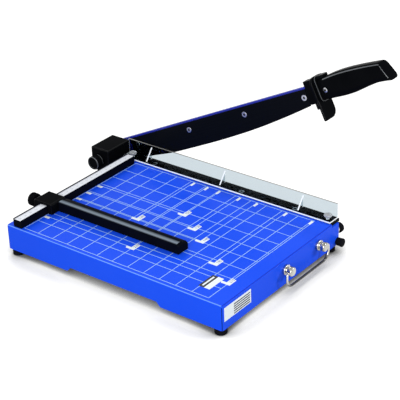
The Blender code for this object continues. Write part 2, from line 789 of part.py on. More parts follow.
def flute_knob_vertex(vertex):
    """Draw in every other line of points on the knob's rim, which leaves its knurl."""
    reach = hypot(vertex.co.x, vertex.co.z)
    if reach < CLAMP_KNOB_RADIUS - GAP:
        return
    angle = atan2(vertex.co.z, vertex.co.x)
    if round(angle / tau * KNURL_SIDES) % 2:
        vertex.co.x *= 1 - KNURL_DEPTH / reach
        vertex.co.z *= 1 - KNURL_DEPTH / reach


def make_housing(root, black_plastic, zinc):
    """The pivot housing, screwed to the back wall from inside the base."""
    low = (-HOUSING_LEFT, housing_front, table_top - HOUSING_BELOW)
    high = (-HOUSING_RIGHT, housing_back, table_top + HOUSING_ABOVE)
    body = round_edges(block(low, high), HOUSING_ROUND, 2, lambda one, other: True)
    housing = piece("pivot_housing", body, black_plastic, root)
    through = (low[0] - OVERRUN, high[0] + OVERRUN)
    bore = rod("X", (pivot_y, pivot_z), SHAFT_RADIUS + GAP, *through, ROUND_SIDES)
    seat = shell_back - SHEET
    depth = seat + HOUSING_SCREW_LENGTH + GAP
    screws = housing_screw_centres()
    holes = [rod("Y", centre, SCREW_RADIUS + GAP, housing_front - OVERRUN, depth) for centre in screws]
    cut(housing, bore, merged(holes))
    for number, centre in enumerate(screws, 1):
        name = f"housing_screw_{number}"
        headed_screw(name, "Y", centre, seat, HOUSING_SCREW_LENGTH, zinc, root)


def make_pivot(arm, black_plastic, zinc):
    """The shoulder bolt, washer, disc springs and tension cap on which the arm turns."""
    middle = (0, 0)
    step = -HOUSING_LEFT
    head = arm_right + GAP
    tip = step - GAP - CAP_LENGTH + CAP_END - CAP_THREAD + GAP
    crown = head + SHAFT_HEAD_HEIGHT
    shoulder = crown - SHAFT_HEAD_ROUND
    profile = [(0, tip), (STUD_RADIUS, tip), (STUD_RADIUS, step), (SHAFT_RADIUS, step)]
    profile += [(SHAFT_RADIUS, head), (SHAFT_HEAD_RADIUS, head), (SHAFT_HEAD_RADIUS, shoulder)]
    profile += [(SHAFT_HEAD_RADIUS - SHAFT_HEAD_ROUND, crown), (0, crown)]
    piece("pivot_shaft", turned("X", middle, profile, ROUND_SIDES), zinc, arm)
    start = -HOUSING_RIGHT + GAP
    end = arm_left - GAP
    bore = SHAFT_RADIUS + GAP
    ring = ((bore, start), (WASHER_RADIUS, start), (WASHER_RADIUS, end), (bore, end))
    piece("pivot_washer", turned("X", middle, ring, ROUND_SIDES, ring=True), zinc, arm)
    make_cap(arm, black_plastic)
    make_disc_springs(arm, zinc)


def make_cap(arm, black_plastic):
    """The hollow tension cap, threaded on the stud at the shaft's left end."""
    axis = empty("pivot_cap_axis", arm, (0, 0, 0), (0, 0, 0))
    mouth = -HOUSING_LEFT - GAP
    end = mouth - CAP_LENGTH
    wall = end + CAP_END
    thread = wall - CAP_THREAD
    hollow = CAP_RADIUS - CAP_WALL
    bore = STUD_RADIUS + GAP
    profile = [(0, end), (CAP_RADIUS - CAP_ROUND, end), (CAP_RADIUS, end + CAP_ROUND), (CAP_RADIUS, mouth)]
    profile += [(hollow, mouth), (hollow, wall), (bore, wall), (bore, thread), (0, thread)]
    piece("pivot_cap", turned("X", (0, 0), profile, ROUND_SIDES), black_plastic, axis)


def make_disc_springs(arm, zinc):
    """The stack of disc springs inside the cap, as one pleated sleeve."""
    mouth = -HOUSING_LEFT - GAP
    wall = mouth - CAP_LENGTH + CAP_END + GAP
    pitch = (mouth - wall - DISC_THICKNESS) / DISC_COUNT
    bore = STUD_RADIUS + GAP
    outer = CAP_RADIUS - CAP_WALL - GAP
    waist = outer - 2 * DISC_THICKNESS
    rim = [(bore, wall)]
    for index in range(DISC_COUNT + 1):
        place = wall + index * pitch
        reach = waist if index % 2 else outer
        rim += [(reach, place), (reach, place + DISC_THICKNESS)]
    rim.append((bore, mouth))
    piece("disc_springs", turned("X", (0, 0), rim, SMALL_SIDES, ring=True), zinc, arm)


def make_arm_bar(arm, paint):
    """The lever: a flat bar round the pivot, stepped down to a tang inside the grip."""
    half = TANG_HEIGHT / 2
    tip = -ARM_REACH - TANG_LENGTH
    corners = [(ARM_HEEL, ARM_TOP, ARM_HEEL_ROUND), (ARM_HEEL, -ARM_BELOW, ARM_HEEL_ROUND)]
    corners += [(-ARM_REACH, -ARM_BELOW, 0), (-ARM_REACH, -half, 0), (tip, -half, 0)]
    corners += [(tip, half, 0), (-ARM_REACH, half, 0), (-ARM_REACH, ARM_TOP, 0)]
    bar = piece("arm_bar", prism("X", rounded(corners), arm_left, arm_right), paint, arm)
    through = (arm_left - OVERRUN, arm_right + OVERRUN)
    bore = rod("X", (0, 0), SHAFT_RADIUS + GAP, *through, ROUND_SIDES)
    holes = [rod("X", centre, SINK_SHANK_RADIUS + GAP, *through) for centre in upper_screw_centres()]
    holes.append(rod("X", grip_screw_centre(), GRIP_SCREW_RADIUS + GAP, *through))
    return cut(bar, bore, merged(holes))


def upper_screw_centres():
    """The screws of the upper knife, evenly spread along it, in the arm's own frame."""
    first = UPPER_KNIFE_HEEL + UPPER_SCREW_FIRST
    last = upper_knife_end - UPPER_SCREW_LAST
    pitch = (last - first) / (UPPER_SCREW_COUNT - 1)
    return [(-first - pitch * index, -UPPER_SCREW_DROP) for index in range(UPPER_SCREW_COUNT)]


def grip_screw_centre():
    """The screw that pins the grip to the tang, in the arm's own frame."""
    return (-grip_start - GRIP_SCREW_ALONG, 0)


def make_upper_knife(arm, black_steel, zinc):
    """The curved upper knife, ground to its edge on the outer side, and its flush screws."""
    end = upper_knife_end
    length = end - UPPER_KNIFE_HEEL
    edge = []
    ground = []
    for along_share, depth_share in KNIFE_EDGE_SHARES:
        y = -UPPER_KNIFE_HEEL - along_share * length
        z = -depth_share * UPPER_KNIFE_DEPTH
        edge.append((y, z))
        ground.append((y, z + EDGE_BEVEL))
    back = [(-end, UPPER_KNIFE_TOP), (-UPPER_KNIFE_HEEL, UPPER_KNIFE_TOP)]
    right = upper_knife_left + UPPER_KNIFE_THICKNESS
    blade = prism("X", edge + back, upper_knife_left, right, ground + back)
    knife = piece("upper_knife", blade, black_steel, arm)
    holes = []
    for centre in upper_screw_centres():
        profile = sunk_profile(upper_knife_left, 1, UPPER_KNIFE_THICKNESS + OVERRUN, GAP)
        holes.append(turned("X", centre, profile, SMALL_SIDES))
    cut(knife, merged(holes))
    reach = arm_right - upper_knife_left
    for number, centre in enumerate(upper_screw_centres(), 1):
        profile = flush_screw_profile(upper_knife_left, 1, reach)
        piece(f"upper_knife_screw_{number}", turned("X", centre, profile, SMALL_SIDES), zinc, arm)


def make_collar(arm, black_plastic):
    """The collar round the end of the bar, whose foot lands on the stop."""
    start = -ARM_REACH
    step = start + COLLAR_FOOT_LENGTH
    end = start + COLLAR_LENGTH
    waist = COLLAR_FOOT_STEP - COLLAR_BELOW
    corners = [(start, -COLLAR_BELOW, COLLAR_ROUND), (step, -COLLAR_BELOW, COLLAR_CORNER), (step, waist, 0)]
    corners += [(end, waist, COLLAR_CORNER), (end, COLLAR_TOP, COLLAR_ROUND)]
    corners.append((start, COLLAR_TOP, COLLAR_ROUND))
    sides = prism("X", rounded(corners), COLLAR_INSIDE, COLLAR_OUTSIDE)
    collar = piece("arm_collar", sides, black_plastic, arm)
    low = (arm_left - GAP, start - OVERRUN, -ARM_BELOW - GAP)
    high = (arm_right + GAP, end + OVERRUN, ARM_TOP + GAP)
    return cut(collar, block(low, high))


def tang_slot(start, end):
    """The slot that the tang passes through, in the arm's own frame."""
    half = TANG_HEIGHT / 2 + GAP
    return block((arm_left - GAP, start, -half), (arm_right + GAP, end, half))


def make_hand_guard(arm, black_plastic):
    """The cross guard: a hook plate that reaches down past the table's front, with a socket behind it."""
    top = GUARD_TOP
    corners = [(-HOOK_LEFT, -HOOK_BELOW, HOOK_CORNER), (HOOK_RIGHT, -HOOK_BELOW, HOOK_ROUND)]
    corners += [(HOOK_RIGHT, top, GUARD_ROUND), (-HOOK_LEFT, top, GUARD_ROUND)]
    front = -guard_start
    back = front - HOOK_THICKNESS
    guard = piece("hand_guard", prism("Y", rounded(corners), back, front), black_plastic, arm)
    left = GRIP_MIDDLE - SOCKET_WIDTH / 2
    right = GRIP_MIDDLE + SOCKET_WIDTH / 2
    roof = top - GAP
    section = [(left, -SOCKET_BELOW, SOCKET_ROUND), (right, -SOCKET_BELOW, SOCKET_ROUND)]
    section += [(right, roof, SOCKET_ROUND), (left, roof, SOCKET_ROUND)]
    end = back - SOCKET_LENGTH
    fuse(guard, prism("Y", rounded(section), end, back + HOOK_THICKNESS / 2), guard_roof(end))
    return cut(guard, tang_slot(end - OVERRUN, front + OVERRUN))


def guard_roof(start):
    """The tongue of the hand guard that runs out over the top of the grip."""
    bottom = ROOF_OVER_GRIP_SHARE * GRIP_TOP + GAP
    left = GRIP_MIDDLE - ROOF_WIDTH / 2
    right = GRIP_MIDDLE + ROOF_WIDTH / 2
    end = start - ROOF_REACH
    corners = [(left, end, ROOF_ROUND), (right, end, ROOF_ROUND)]
    corners += [(right, start + SOCKET_LENGTH / 2, 0), (left, start + SOCKET_LENGTH / 2, 0)]
    return prism("Z", rounded(corners), bottom, bottom + ROOF_THICKNESS)


def grip_ring(station):
    """One cross-section of the grip, a softened rectangle that may lean from top to bottom."""
    top_along, bottom_along, top_share, bottom_share, width_share = station
    top = top_share * GRIP_TOP
    bottom = -bottom_share * GRIP_BELOW
    half_width = width_share * GRIP_HALF_WIDTH
    ring = []
    for index in range(ROUND_SIDES):
        angle = tau * index / ROUND_SIDES
        across = abs(cos(angle)) ** GRIP_SQUARE_SHARE * (1 if cos(angle) > 0 else -1)
        upward = abs(sin(angle)) ** GRIP_SQUARE_SHARE * (1 if sin(angle) > 0 else -1)
        z = (top + bottom) / 2 + upward * (top - bottom) / 2
        along = top_along + (bottom_along - top_along) * (1 - upward) / 2
        ring.append((GRIP_MIDDLE + across * half_width, -grip_start - along * GRIP_LENGTH, z))
    return ring


def grip_screw_profile(clearance):
    """The grip's screw, sunk in its left side; a clearance gives the hole instead."""
    face = GRIP_MIDDLE - GRIP_HALF_WIDTH + GRIP_SCREW_DEPTH
    outside = face - OVERRUN - GRIP_SCREW_DEPTH if clearance else face
    neck = face + GRIP_SCREW_DEPTH
    tip = arm_right + GRIP_SCREW_REACH + clearance
    head = GRIP_SCREW_HEAD + clearance
    shank = GRIP_SCREW_RADIUS + clearance
    profile = ((0, outside), (head, outside), (head, neck + clearance))
    return profile + ((shank, neck + clearance), (shank, tip), (0, tip))


def make_grip(arm, black_plastic, zinc):
    """The moulded grip over the tang, and the screw that pins it."""
    rings = [grip_ring(station) for station in GRIP_STATION_SHARES]
    grip = piece("grip", loft(rings), black_plastic, arm)
    end = -ARM_REACH - TANG_LENGTH - GAP
    hole = turned("X", grip_screw_centre(), grip_screw_profile(GAP), SMALL_SIDES)
    cut(grip, tang_slot(end, -grip_start + OVERRUN), hole)
    screw = turned("X", grip_screw_centre(), grip_screw_profile(0), SMALL_SIDES)
    piece("grip_screw", screw, zinc, arm)


def make_safety_guard(root, clear):
    """The clear angle along the cut, with three gussets between its flange and its wall."""
    right = -CLEAR_FROM_CUT
    inside = right - CLEAR_SHEET
    left = right - CLEAR_FLANGE
    top = table_top + CLEAR_HEIGHT
    outline = [(left, clear_bottom), (right, clear_bottom), (right, top)]
    outline += [(inside, top), (inside, clear_top), (left, clear_top)]
    front = shell_front + CLEAR_FRONT_INSET
    back = shell_back + CLEAR_PAST_TABLE
    guard = piece("safety_guard", prism("Y", outline, front, back), clear, root)
    gussets = []
    for share in GUSSET_SHARES:
        middle = shell_back - share * TABLE_DEPTH
        root_x = inside + CLEAR_SHEET / 2
        root_z = clear_top - CLEAR_SHEET / 2
        web = [(root_x, root_z), (root_x, clear_top + GUSSET_RISE), (inside, clear_top + GUSSET_RISE)]
        web += [(inside - GUSSET_RUN, clear_top), (inside - GUSSET_RUN, root_z)]
        gussets.append(prism("Y", web, middle - CLEAR_SHEET / 2, middle + CLEAR_SHEET / 2))
    fuse(guard, *gussets)
    past = block(
        (left - OVERRUN, housing_front - 2 * GAP, clear_bottom - OVERRUN),
        (-HOUSING_RIGHT + GAP, back + OVERRUN, clear_top + OVERRUN),
    )
    holes = []
    for centre in thumb_centres().values():
        bore = THUMB_SHANK_RADIUS + GAP
        holes.append(rod("Z", centre, bore, clear_bottom - OVERRUN, clear_top + OVERRUN))
    return cut(guard, past, merged(holes))


def make_thumb_screws(root, clear, zinc):
    """The two thumb screws of the clear guard and the spacer rings that keep the paper gap."""
    low = table_top + GAP
    high = clear_bottom - GAP
    bore = THUMB_SHANK_RADIUS + GAP
    for side, centre in thumb_centres().items():
        ring = ((bore, low), (SPACER_RADIUS, low), (SPACER_RADIUS, high), (bore, high))
        piece(f"guard_spacer_{side}", turned("Z", centre, ring, SMALL_SIDES, ring=True), clear, root)
        axis = empty(f"thumb_{side}_axis", root, (*centre, clear_top + GAP), (0, 0, 0))
        rim = THUMB_RADIUS - THUMB_ROUND
        profile = [(0, -THUMB_SHANK_LENGTH), (THUMB_SHANK_RADIUS, -THUMB_SHANK_LENGTH)]
        profile += [(THUMB_SHANK_RADIUS, 0), (rim, 0), (THUMB_RADIUS, THUMB_ROUND)]
        profile += [(THUMB_RADIUS, THUMB_HEIGHT - THUMB_ROUND), (rim, THUMB_HEIGHT), (0, THUMB_HEIGHT)]
        piece(f"thumb_screw_{side}", turned("Z", (0, 0), profile, ROUND_SIDES), clear, axis)


def make_carry_handle(root, nickel):
    """Two riveted posts on the front wall and the wire bail that hangs between them."""
    wall = shell_front - GAP
    stem = shell_front + SHEET + GAP
    peen = stem + POST_RIVET_HEIGHT
    flange = wall - POST_FLANGE_HEIGHT
    tip = wall - POST_LENGTH
    head = tip + POST_HEAD_LENGTH
    hinge_y = (tip + head) / 2
    profile = [(0, peen), (POST_RIVET_RADIUS, peen), (POST_RIVET_RADIUS, stem), (POST_STEM_RADIUS, stem)]
    profile += [(POST_STEM_RADIUS, wall), (POST_FLANGE_RADIUS, wall), (POST_FLANGE_RADIUS, flange)]
    profile += [(POST_NECK_RADIUS, flange), (POST_NECK_RADIUS, head), (POST_HEAD_RADIUS - POST_ROUND, head)]
    profile += [(POST_HEAD_RADIUS, head - POST_ROUND), (POST_HEAD_RADIUS, tip + POST_ROUND)]
    profile += [(POST_HEAD_RADIUS - POST_ROUND, tip), (0, tip)]
    bore = BAIL_WIRE_RADIUS + GAP
    for side, (x, z) in post_centres().items():
        post = piece(f"handle_post_{side}", turned("Y", (x, z), profile, ROUND_SIDES), nickel, root)
        outward = -1 if side == "left" else 1
        mouth = x + outward * (POST_HEAD_RADIUS + OVERRUN)
        depth = x + outward * (POST_HEAD_RADIUS - BAIL_BITE - GAP)
        cut(post, rod("X", (hinge_y, z), bore, *sorted((mouth, depth))))
    make_bail(root, nickel, hinge_y)


def bail_route():
    """The bail's wire in its own frame, from one inturned end round to the other."""
    half = POST_PITCH / 2 + POST_HEAD_RADIUS
    bend = 2 * BAIL_WIRE_RADIUS
    leg = half + GAP + bend
    right = [(half - BAIL_BITE, 0)]
    right += quarter_arc(leg - bend, -bend, bend, pi / 2)
    right += quarter_arc(leg - BAIL_CORNER, BAIL_CORNER - BAIL_DROP, BAIL_CORNER, 0)
    left = [(-x, z) for x, z in reversed(right)]
    return right + left


def quarter_arc(centre_x, centre_z, radius, start):
    """A quarter turn clockwise about a centre, from a starting angle."""
    angles = [start - pi / 2 * step / ARC_STEPS for step in range(ARC_STEPS + 1)]
    return [(centre_x + radius * cos(angle), centre_z + radius * sin(angle)) for angle in angles]


def make_bail(root, nickel, hinge_y):
    """The wire bail, swept along its route in the plane of its hinge."""
    middle = -POST_FROM_CUT - POST_PITCH / 2
    axis = empty("bail_axis", root, (middle, hinge_y, table_top - POST_BELOW_TABLE), (0, 0, 0))
    route = bail_route()
    rings = []
    for index, (x, z) in enumerate(route):
        before = Vector(route[max(index - 1, 0)])
        after = Vector(route[min(index + 1, len(route) - 1)])
        along = (after - before).normalized()
        outward = Vector((along.y, -along.x))
        ring = []
        for side in range(WIRE_SIDES):
            angle = tau * (side + 1 / 2) / WIRE_SIDES
            reach = BAIL_WIRE_RADIUS * cos(angle)
            ring.append((x + outward.x * reach, BAIL_WIRE_RADIUS * sin(angle), z + outward.y * reach))
        rings.append(ring)
    piece("carry_bail", loft(rings), nickel, axis)


def make_stops(root, nickel, rubber):
    """The riveted stud with its rubber ring on the right wall, and the buffer on the front wall."""
    centre = stop_centre()
    inside = shell_right - SHEET - GAP
    outside = shell_right + GAP
    end = RING_FROM_CUT + RING_LENGTH + STOP_STUD_END
    profile = [(0, inside - STOP_RIVET_HEIGHT), (STOP_RIVET_RADIUS, inside - STOP_RIVET_HEIGHT)]
    profile += [(STOP_RIVET_RADIUS, inside), (STOP_STEM_RADIUS, inside), (STOP_STEM_RADIUS, outside)]
    profile += [(STOP_STUD_RADIUS, outside), (STOP_STUD_RADIUS, end), (0, end)]
    piece("stop_stud", turned("X", centre, profile, ROUND_SIDES), nickel, root)
    bore = STOP_STUD_RADIUS + GAP
    start = RING_FROM_CUT
    finish = RING_FROM_CUT + RING_LENGTH
    soft = STOP_STUD_END
    ring = [(bore, start), (RING_RADIUS - soft, start), (RING_RADIUS, start + soft)]
    ring += [(RING_RADIUS, finish - soft), (RING_RADIUS - soft, finish), (bore, finish)]
    piece("stop_ring", turned("X", centre, ring, ROUND_SIDES, ring=True), rubber, root)
    make_buffer(root, rubber)


def make_buffer(root, rubber):
    """The push-in rubber buffer under the hook of the hand guard."""
    wall = shell_front - GAP
    inside = shell_front + SHEET + GAP
    tip = wall - BUFFER_LENGTH
    barb = BUFFER_STEM_RADIUS + BUFFER_BARB
    flare = BUFFER_RADIUS + BUFFER_FLARE
    profile = [(0, inside + BUFFER_BARB_HEIGHT), (BUFFER_STEM_RADIUS, inside + BUFFER_BARB_HEIGHT)]
    profile += [(barb, inside), (BUFFER_STEM_RADIUS, inside), (BUFFER_STEM_RADIUS, wall)]
    profile += [(BUFFER_RADIUS, wall), (flare, tip + BUFFER_BARB_HEIGHT), (BUFFER_RADIUS, tip), (0, tip)]
    piece("hook_buffer", turned("Y", buffer_centre(), profile, ROUND_SIDES), rubber, root)


def box_middle():
    """The middle of the cutter's box in plan, from its outermost pieces."""
    _, bottom_along, _, bottom_share, _ = GRIP_STATION_SHARES[-1]
    far = -grip_start - bottom_along * GRIP_LENGTH
    low = -bottom_share * GRIP_BELOW
    front = pivot_y + far * cos(REST_ANGLE) + low * sin(REST_ANGLE)
    outer_right = max(GRIP_MIDDLE + GRIP_HALF_WIDTH, HOOK_RIGHT)
    return (shell_left + outer_right) / 2, (front + housing_back) / 2


def make_cutter():
    """Put the whole cutter together."""
    paint = colour_material("blue_paint", (0.02, 0.08, 0.62), 0.35, 0.0, 1.0)
    black_steel = colour_material("black_steel", (0.02, 0.02, 0.022), 0.35, 0.6, 1.0)
    black_metal = colour_material("black_metal", (0.02, 0.02, 0.022), 0.4, 0.2, 1.0)
    black_plastic = colour_material("black_plastic", (0.018, 0.018, 0.02), 0.4, 0.0, 1.0)
    rubber = colour_material("black_rubber", (0.02, 0.02, 0.02), 0.7, 0.0, 1.0)
    zinc = colour_material("zinc_steel", (0.6, 0.6, 0.6), 0.3, 1.0, 1.0)
    nickel = colour_material("nickel", (0.75, 0.74, 0.7), 0.15, 1.0, 1.0)
    ruler_white = colour_material("ruler_white", (0.85, 0.85, 0.86), 0.5, 0.0, 1.0)
    clear = colour_material("clear_plastic", (0.9, 0.95, 0.95), 0.05, 0.0, 0.35)
    middle_x, middle_y = box_middle()
    root = empty("cutter", None, (-middle_x, -middle_y, 0), (0, 0, 0))
    arm = empty("arm_axis", root, (0, pivot_y, pivot_z), (-REST_ANGLE, 0, 0))
    make_base_shell(root, paint)
    make_feet(root, rubber, zinc)
    make_lower_knife(root, black_steel, zinc)
    make_fence(root, black_metal, ruler_white, zinc)
    make_gauge(root, black_plastic, black_metal, zinc)
    make_housing(root, black_plastic, zinc)
    make_pivot(arm, black_plastic, zinc)
    make_arm_bar(arm, paint)
    make_upper_knife(arm, black_steel, zinc)
    make_collar(arm, black_plastic)
    make_hand_guard(arm, black_plastic)
    make_grip(arm, black_plastic, zinc)
    make_safety_guard(root, clear)
    make_thumb_screws(root, clear, zinc)
    make_carry_handle(root, nickel)
    make_stops(root, nickel, rubber)


clear_scene()
make_cutter()
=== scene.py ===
"""How the guillotine paper cutter looks, dressed piece by piece in the order it is put together.

Lengths are in metres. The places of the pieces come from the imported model: the cut is the inner edge
of the lower knife, and the fence's face is square to it.
"""

import json
from math import atan2, cos, hypot, pi, radians, sin, tau

import bmesh
import bpy
from mathutils import Matrix, Vector


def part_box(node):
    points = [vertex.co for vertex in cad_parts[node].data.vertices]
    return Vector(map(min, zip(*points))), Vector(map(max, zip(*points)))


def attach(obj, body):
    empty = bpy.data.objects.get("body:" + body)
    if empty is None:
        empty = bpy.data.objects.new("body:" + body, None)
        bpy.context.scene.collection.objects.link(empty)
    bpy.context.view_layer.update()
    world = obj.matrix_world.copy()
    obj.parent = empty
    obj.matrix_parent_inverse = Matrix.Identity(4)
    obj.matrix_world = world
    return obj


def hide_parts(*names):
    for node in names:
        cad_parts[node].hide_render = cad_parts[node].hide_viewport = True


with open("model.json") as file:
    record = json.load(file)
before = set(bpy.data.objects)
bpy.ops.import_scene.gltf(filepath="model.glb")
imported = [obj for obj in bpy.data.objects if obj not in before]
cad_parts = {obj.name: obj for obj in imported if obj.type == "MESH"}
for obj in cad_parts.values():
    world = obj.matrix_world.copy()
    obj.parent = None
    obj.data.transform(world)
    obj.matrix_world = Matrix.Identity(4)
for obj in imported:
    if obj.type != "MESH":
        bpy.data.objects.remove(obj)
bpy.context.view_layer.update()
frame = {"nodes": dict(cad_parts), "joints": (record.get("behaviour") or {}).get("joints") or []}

# Where the sheet meets the knives and the fence
# A sheet lies on the painted table, against the fence's face, and is cut along the inner edge of
# the lower knife. Every printed line and every fitting is placed from these three surfaces.
cut_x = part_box("lower_knife")[1].x
fence_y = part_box("fence_rail")[0].y
table_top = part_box("base_shell")[1].z


def on_table(from_cut, from_fence, above=0):
    """A point over the table from its distance left of the cut and in front of the fence."""
    return Vector((cut_x - from_cut, fence_y - from_fence, table_top + above))


# Camera
# A long lens at the front left corner looks down on the table, past its near corner, and is
# tilted by two degrees.
CAMERA_TURN = radians(-51.50)
CAMERA_HEIGHT_ANGLE = radians(28.01)
CAMERA_TILT = radians(-2.09)
CAMERA_DISTANCE = 1.8494
CAMERA_LENS_PIXELS = 1389.8
PICTURE_PIXELS = 400
SENSOR_WIDTH = 36
AIM_FROM_CUT = 0.06153
AIM_FROM_FENCE = 0.14255

to_camera = Vector((
    sin(CAMERA_TURN) * cos(CAMERA_HEIGHT_ANGLE),
    -cos(CAMERA_TURN) * cos(CAMERA_HEIGHT_ANGLE),
    sin(CAMERA_HEIGHT_ANGLE),
))
level_right = (-to_camera).cross(Vector((0, 0, 1))).normalized()
level_up = level_right.cross(-to_camera)
camera_right = cos(CAMERA_TILT) * level_right + sin(CAMERA_TILT) * level_up
camera_up = cos(CAMERA_TILT) * level_up - sin(CAMERA_TILT) * level_right
camera_place = Matrix((camera_right, camera_up, to_camera)).transposed().to_4x4()
camera_place.translation = on_table(AIM_FROM_CUT, AIM_FROM_FENCE) + to_camera * CAMERA_DISTANCE
camera_data = bpy.data.cameras.new("camera")
camera_data.sensor_width = SENSOR_WIDTH
camera_data.lens = CAMERA_LENS_PIXELS * SENSOR_WIDTH / PICTURE_PIXELS
camera = bpy.data.objects.new("camera", camera_data)
camera.matrix_world = camera_place
bpy.context.scene.collection.objects.link(camera)
bpy.context.scene.camera = camera
bpy.context.scene.view_settings.view_transform = "Standard"

# Room
# A white floor without corners under a white sky. A small lamp high at the back draws thin bright
# lines along the rounded edges, a wide one fills the left wall and a smaller one the front.
FLOOR_HALF = 6.0
FLOOR_WHITE = (0.28, 0.28, 0.27, 1)
FLOOR_GLOW = 0.94
SHADE_REACH = 0.06
SHADE_DARK = 0.42
SHADE_CLEAR = 0.84
SKY_STRENGTH = 0.70
LAMPS = {
    "back_lamp": {"place": (0.87, 1.32, 1.80), "watts": 8, "width": 0.30},
    "left_lamp": {"place": (-1.85, -0.85, 0.95), "watts": 33, "width": 1.2},
    "right_lamp": {"place": (0.95, -1.55, 0.85), "watts": 13, "width": 0.45},
}


def connected(tree, node, inputs):
    """Give a shader node's inputs their plain values or the outputs of other nodes."""
    for name, value in inputs.items():
        if isinstance(value, bpy.types.NodeSocket):
            tree.links.new(value, node.inputs[name])
        else:
            node.inputs[name].default_value = value
    return node


def added(tree, kind, inputs=None, **settings):
    """Add a shader node with its settings and its inputs."""
    node = tree.nodes.new("ShaderNode" + kind)
    for name, value in settings.items():
        setattr(node, name, value)
    return connected(tree, node, inputs or {})


def seen_directly(tree):
    """A value that is 1 where the eye, a reflection or a clear piece looks at a surface."""
    ray = added(tree, "LightPath").outputs
    inputs = {0: ray["Is Camera Ray"], 1: ray["Is Glossy Ray"]}
    either = added(tree, "Math", inputs, operation="MAXIMUM")
    inputs = {0: either.outputs[0], 1: ray["Is Transmission Ray"]}
    return added(tree, "Math", inputs, operation="MAXIMUM").outputs[0]


def white_floor():
    """The floor's finish: card that also glows where it is looked at, dimmed close to a wall as painted
    shade.
    """
    made = bpy.data.materials.new("white_floor")
    made.use_nodes = True
    tree = made.node_tree
    tree.nodes.clear()
    card = added(tree, "BsdfDiffuse", {"Color": FLOOR_WHITE})
    strength = added(tree, "Math", {0: seen_directly(tree), 1: FLOOR_GLOW}, operation="MULTIPLY")
    openness = added(tree, "AmbientOcclusion", {"Distance": SHADE_REACH})
    shade = added(tree, "MapRange", {
        "From Min": SHADE_DARK, "From Max": SHADE_CLEAR, "Value": openness.outputs["AO"],
    })
    inputs = {0: strength.outputs[0], 1: shade.outputs["Result"]}
    shaded = added(tree, "Math", inputs, operation="MULTIPLY")
    glow = added(tree, "Emission", {"Strength": shaded.outputs[0]})
    both = added(tree, "AddShader", {0: card.outputs[0], 1: glow.outputs[0]})
    added(tree, "OutputMaterial", {"Surface": both.outputs[0]})
    return made


floor_mesh = bmesh.new()
bmesh.ops.create_grid(floor_mesh, x_segments=1, y_segments=1, size=FLOOR_HALF)
floor_data = bpy.data.meshes.new("floor")
floor_mesh.to_mesh(floor_data)
floor_mesh.free()
floor = bpy.data.objects.new("floor", floor_data)
floor.data.materials.append(white_floor())
bpy.context.scene.collection.objects.link(floor)

sky = bpy.data.worlds.new("white_sky")
sky.use_nodes = True
bpy.context.scene.world = sky
sky.node_tree.nodes.clear()
sky_level = added(sky.node_tree, "MapRange", {
    "To Min": SKY_STRENGTH, "To Max": 1.0, "Value": seen_directly(sky.node_tree),
})
sky_light = added(sky.node_tree, "Background", {"Strength": sky_level.outputs["Result"]})
added(sky.node_tree, "OutputWorld", {"Surface": sky_light.outputs[0]})

for lamp_name, lamp in LAMPS.items():
    lamp_data = bpy.data.lights.new(lamp_name, "AREA")
    lamp_data.energy = lamp["watts"]
    lamp_data.size = lamp["width"]
    lamp_object = bpy.data.objects.new(lamp_name, lamp_data)
    lamp_object.location = lamp["place"]
    lamp_object.rotation_euler = Vector(lamp["place"]).to_track_quat("Z", "Y").to_euler()
    bpy.context.scene.collection.objects.link(lamp_object)

# Base shell
# The table is folded from one steel sheet, open below, and powder coated in a deep blue. The coat
# is smooth and glossy, with the faint pebbling that such paint dries to.
PAINT_BLUE = (0.008, 0.078, 0.90)
PAINT_BLUE_WORN = (0.012, 0.094, 0.95)
PAINT = {"roughness": (0.26, 0.34), "clouds": 14, "grain": 900, "height": 0.00002}
PAINT_GLOSS = 0.06
CLOUD_DETAIL = 4
GRAIN_DETAIL = 3


def grained(name, dark, light, surface, gloss=0.5, metal=0, stretch=(1, 1, 1), tilt=0):
    """A finish of two close colours in soft clouds, with a fine grain that may run one way."""
    made = bpy.data.materials.new(name)
    made.use_nodes = True
    tree = made.node_tree
    place = added(tree, "TexCoord")
    stretched = added(tree, "Mapping", {
        "Scale": stretch, "Rotation": (tilt, 0, 0), "Vector": place.outputs["Object"],
    }, vector_type="TEXTURE")
    clouds = added(tree, "TexNoise", {
        "Scale": surface["clouds"], "Detail": CLOUD_DETAIL, "Vector": stretched.outputs["Vector"],
    })
    cloudy = added(tree, "Mix", {
        "A": (*dark, 1), "B": (*light, 1), "Factor": clouds.outputs["Fac"],
    }, data_type="RGBA")
    grain = added(tree, "TexNoise", {
        "Scale": surface["grain"], "Detail": GRAIN_DETAIL, "Vector": stretched.outputs["Vector"],
    }).outputs["Fac"]
    smooth, rough = surface["roughness"]
    shine = added(tree, "MapRange", {"To Min": smooth, "To Max": rough, "Value": grain})
    relief = added(tree, "Bump", {"Distance": surface["height"], "Height": grain})
    connected(tree, tree.nodes["Principled BSDF"], {
        "Specular IOR Level": gloss, "Metallic": metal, "Base Color": cloudy.outputs["Result"],
        "Roughness": shine.outputs["Result"], "Normal": relief.outputs["Normal"],
    })
    return made


def coat_node(node, finish):
    """Give a piece that is kept as it was modelled its finish."""
    for slot in frame["nodes"][node].material_slots:
        slot.material = finish


blue_paint = grained("blue_paint", PAINT_BLUE, PAINT_BLUE_WORN, PAINT, gloss=PAINT_GLOSS)
coat_node("base_shell", blue_paint)
